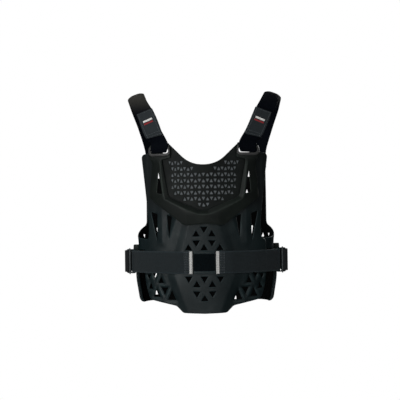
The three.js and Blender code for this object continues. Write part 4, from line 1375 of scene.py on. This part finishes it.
def rear_rows():
    """Edge points of the right rear strap, from the buckle's rear bar to the back shell."""
    reach = BUCKLE["length"] / 2 - BUCKLE["bar"] / 2
    rows = round_bar(reach, -1)[::-1] + [upright(*place) for place in REAR_SPAN]
    out = BELT["back_clear"] + BELT["thick"] / 2
    for turn in REAR_TURNS:
        at = back_point(np.array(float(turn)), np.array(BELT["middle"]), out)
        rows.append(upright(at[0], at[1]))
    return rows


class PROTECTOR_OT_belt(bpy.types.Operator):
    """Build the elastic belt, its end tapes and stitching, the rear straps and the pile patch"""

    bl_idname = "protector.belt"
    bl_label = "Belt"

    def execute(self, context):
        colours = context.scene.protector_colours
        tape_material = woven("woven_white_tape", colours.tape, 1.4, 1.4, 0.25, pale=1.1)
        # The belt's edges are painted paler, a painted highlight
        elastic = elastic_material("ribbed_elastic_webbing", colours.elastic, BELT["width"])
        rear_elastic = elastic_material("ribbed_elastic_black", colours.rear)
        front_rows, back_rows = belt_rows(), rear_rows()
        edges = BELT_SEAM["edge"], BELT["width"] - BELT_SEAM["edge"], BELT_SEAM["points"]
        for label, side in SIDES:
            ribbon = Ribbon(sided(front_rows, side), RIBBON_ROWS["belt"])
            belt = lay(f"elastic_belt_{label}", ribbon, BELT["thick"], elastic)
            settle(belt, "belt_elastic", f"belt_{label}")
            rear = Ribbon(sided(back_rows, side), RIBBON_ROWS["rear"])
            strap = lay(f"elastic_rear_strap_{label}", rear, BELT["thick"], rear_elastic)
            settle(strap, "belt_elastic", f"rear_strap_{label}")
            out = side * (BELT["thick"] / 2 + TAPE["clear"] + TAPE["thick"] / 2)
            end = ribbon.patch(0, TAPE["width"], 0, BELT["width"])
            tape = lay(f"white_tape_{label}", end, TAPE["thick"], tape_material, out)
            settle(tape, "belt_tape", f"belt_tape_{label}")
            top = side * (BELT["thick"] / 2 + BELT_SEAM["proud"])
            tape_top = out + side * (TAPE["thick"] / 2 + BELT_SEAM["proud"])
            tape_rows = BELT_SEAM["tape_edge"], TAPE["width"] - BELT_SEAM["tape_edge"]
            rows_sewn = [ribbon.cross(at, top, *edges) for at in BELT_SEAM["rows"]]
            rows_sewn += [ribbon.cross(at, tape_top, *edges) for at in tape_rows]
            seam = sew(f"belt_stitches_{label}", rows_sewn, thread_material())
            settle(seam, "belt_elastic")
        half, tall = PATCH["half_width"], PATCH["half_height"]
        outline = rectangle(-half, half, BELT["middle"] - tall, BELT["middle"] + tall, PATCH["corner"])
        front = PATCH["clear"] + PATCH["thick"]
        wall = between(raised(shell_crown, front), raised(shell_crown, PATCH["clear"]))
        pile = loop_pile("black_loop_pile", colours.pile)
        patch = mould("pile_patch", [outline], wall, PATCH["thick"], pile, FINENESS["patch"])
        settle(patch, "belt_pile", "belt_patch")
        return {"FINISHED"}


class PROTECTOR_OT_hardware(bpy.types.Operator):
    """Build the side buckles and the stops above the belt"""

    bl_idname = "protector.hardware"
    bl_label = "Buckles and stops"

    def execute(self, context):
        colours = context.scene.protector_colours
        nylon = moulded_polyethylene("moulded_nylon_satin", colours.buckle, colours.shell_light, 0.4, 0.5)
        # The buckle bar is painted paler than the frame, a painted highlight
        wear_and_highlight = moulded_polyethylene("moulded_nylon_rubbed", colours.bar, colours.bar, 0.45, 0.5)
        for label, side in SIDES:
            self.buckle(label, side, nylon, wear_and_highlight)
            self.stop(label, side)
        return {"FINISHED"}

    @staticmethod
    def buckle(label, side, material, bar_material):
        reach, tall = BUCKLE["length"] / 2, BUCKLE["height"] / 2
        middle, bar = BUCKLE["post_at"], BUCKLE["bar"]
        windows = (bar - reach, middle - BUCKLE["post"] / 2), (middle + BUCKLE["post"] / 2, reach - bar)
        outlines = [rectangle(-reach, reach, -tall, tall, BUCKLE["corner"])]
        for start, end in windows:
            high = tall - BUCKLE["end"]
            outlines.append(rectangle(start, end, -high, high, BUCKLE["window_corner"]))

        def at(a, b, out):
            x, y = buckle_plan(a, out)
            return np.stack([side * x, y, BELT["middle"] + b], axis=1)

        def place(a, b, share):
            return at(a, b, BUCKLE["thick"] * (0.5 - share))

        def bar_place(a, b, share):
            return at(a, b, BUCKLE["thick"] / 2 + BAR["proud"] - BAR["thick"] * share)

        name = f"frame_buckle_{label}"
        buckle = mould(name, outlines, place, BUCKLE["thick"], material, FINENESS["buckle"])
        settle(buckle, "buckle_plastic", f"side_buckle_{label}")
        half, tall = BAR["width"] / 2, BAR["height"] / 2
        outline = rectangle(middle - half, middle + half, -tall, tall, BAR["corner"])
        name = f"buckle_bar_{label}"
        proud = mould(name, [outline], bar_place, BAR["thick"], bar_material, FINENESS["buckle_bar"])
        settle(proud, "buckle_plastic")

    @staticmethod
    def stop(label, side):
        half, height = STOP["length"] / 2, STOP["height"]
        low, high = STOP["low_corner"], STOP["high_corner"]
        outline = [(-half, 0, low), (half, 0, low), (half, height, high), (-half, height, high)]

        def place(a, b, share):
            turn = STOP["turn"] + a / BACK["mm_per_degree"]
            out = STOP["seat"] + STOP["thick"] * (1 - share)
            return back_point(turn, STOP["bottom"] + b, out) * (side, 1, 1)

        name = f"wing_stop_{label}"
        stop = mould(name, [outline], place, STOP["thick"], yoke_material(), FINENESS["stop"])
        settle(stop, "shell_plastic", f"belt_stop_{label}")


# Studio: the camera stands where the photograph was taken from
STAGE = {"distance": 2.6, "front": -0.11, "height": 236.7, "aim_x": -7.2, "side": 0.1, "pixel": 2.07,
         "roll": -0.75, "frame": 400, "sensor": 36.0, "floor_gap": 1.0, "floor_radius": 4.5,
         "floor_sides": 96}
LIGHTS = [
    {"name": "key_softbox", "at": (-1.8, -2.2, -0.2), "size": 1.5, "watts": 17.0},
    {"name": "front_softbox", "at": (-1.2, -2.6, 0.9), "size": 1.2, "watts": 11.0},
    {"name": "floor_bounce", "at": (0.0, -2.6, -1.0), "size": 0.8, "watts": 5.0},
    {"name": "shoulder_light", "at": (-2.0, -0.6, 2.0), "size": 1.2, "watts": 9.0},
    {"name": "fill_softbox", "at": (1.9, -2.2, 0.9), "size": 1.2, "watts": 7.0},
    {"name": "rear_softbox", "at": (1.3, 2.4, 0.7), "size": 1.5, "watts": 22.0},
]
AMBIENT = 0.18


class PROTECTOR_OT_stage(bpy.types.Operator):
    """Set up the pale floor, the soft lights and the camera"""

    bl_idname = "protector.stage"
    bl_label = "Studio stage"

    def execute(self, context):
        scene = context.scene
        middle = Vector((0, 0, (CAD_BOX[0].z + CAD_BOX[1].z) / 2))
        self.floor(scene)
        for light in LIGHTS:
            lamp = bpy.data.lights.new(light["name"], "AREA")
            lamp.shape = "DISK"
            lamp.size = light["size"]
            lamp.energy = light["watts"]
            holder = bpy.data.objects.new(light["name"], lamp)
            holder.location = light["at"]
            holder.rotation_euler = (middle - holder.location).to_track_quat("-Z", "Y").to_euler()
            scene.collection.objects.link(holder)
        world = bpy.data.worlds.new("white_studio")
        world.use_nodes = True
        tree = world.node_tree
        tree.nodes.clear()
        seen = add_node(tree, "ShaderNodeLightPath").outputs["Is Camera Ray"]
        level = mapped(tree, seen, 0.0, 1.0, AMBIENT, 1.0)
        sky = add_node(tree, "ShaderNodeBackground", {"Color": (1, 1, 1, 1), "Strength": level})
        add_node(tree, "ShaderNodeOutputWorld", {"Surface": sky.outputs[0]})
        world.cycles_visibility.glossy = False
        scene.world = world
        scene.view_settings.view_transform = "Standard"
        self.camera(scene)
        return {"FINISHED"}

    @staticmethod
    def floor(scene):
        radius = STAGE["floor_radius"]
        turns = np.linspace(0, 2 * math.pi, STAGE["floor_sides"], endpoint=False)
        level = CAD_BOX[0].z - STAGE["floor_gap"]
        ring = [(radius * math.cos(t), radius * math.sin(t), level) for t in turns]
        mesh = bpy.data.meshes.new("studio_floor")
        mesh.from_pydata(ring, [], [tuple(range(len(ring)))])
        mesh.materials.append(studio_paper("matt_studio_paper", scene.protector_colours.floor))
        floor = bpy.data.objects.new("studio_floor", mesh)
        scene.collection.objects.link(floor)
        floor.visible_glossy = False
        floor.visible_diffuse = False

    @staticmethod
    def camera(scene):
        lens = bpy.data.cameras.new("studio_camera")
        lens.sensor_width = STAGE["sensor"]
        lens.lens = STAGE["sensor"] * STAGE["distance"] / (STAGE["frame"] * STAGE["pixel"] * MM)
        camera = bpy.data.objects.new("studio_camera", lens)
        height = (STAGE["height"] + HEM) * MM
        camera.location = (STAGE["side"], STAGE["front"] - STAGE["distance"], height)
        aim = Vector((STAGE["aim_x"] * MM, STAGE["front"], height))
        roll = Quaternion((0, 0, 1), math.radians(STAGE["roll"]))
        camera.rotation_euler = ((aim - camera.location).to_track_quat("-Z", "Y") @ roll).to_euler()
        scene.collection.objects.link(camera)
        scene.camera = camera


OPERATORS = (
    PROTECTOR_OT_stage, PROTECTOR_OT_front_shell, PROTECTOR_OT_chest_yoke, PROTECTOR_OT_chest_vent,
    PROTECTOR_OT_back_shell, PROTECTOR_OT_shoulder_straps, PROTECTOR_OT_belt, PROTECTOR_OT_hardware,
)


class PROTECTOR_PT_builder(bpy.types.Panel):
    """Lists the protector's pieces in the sidebar"""

    bl_label = "Chest and back protector"
    bl_idname = "PROTECTOR_PT_builder"
    bl_space_type = "VIEW_3D"
    bl_region_type = "UI"
    bl_category = "Protector"

    def draw(self, context):
        for operator in OPERATORS:
            self.layout.operator(operator.bl_idname)
        for group in (context.scene.protector_sizes, context.scene.protector_colours):
            box = self.layout.box()
            for name in group.__annotations__:
                box.prop(group, name)


CLASSES = (ProtectorSizes, ProtectorColours, *OPERATORS, PROTECTOR_PT_builder)


def register():
    for cls in CLASSES:
        bpy.utils.register_class(cls)
    bpy.types.Scene.protector_sizes = bpy.props.PointerProperty(type=ProtectorSizes)
    bpy.types.Scene.protector_colours = bpy.props.PointerProperty(type=ProtectorColours)


def unregister():
    del bpy.types.Scene.protector_colours
    del bpy.types.Scene.protector_sizes
    for cls in reversed(CLASSES):
        bpy.utils.unregister_class(cls)


def main():
    register()
    for operator in OPERATORS:
        group, name = operator.bl_idname.split(".")
        getattr(getattr(bpy.ops, group), name)()


if __name__ == "__main__":
    main()
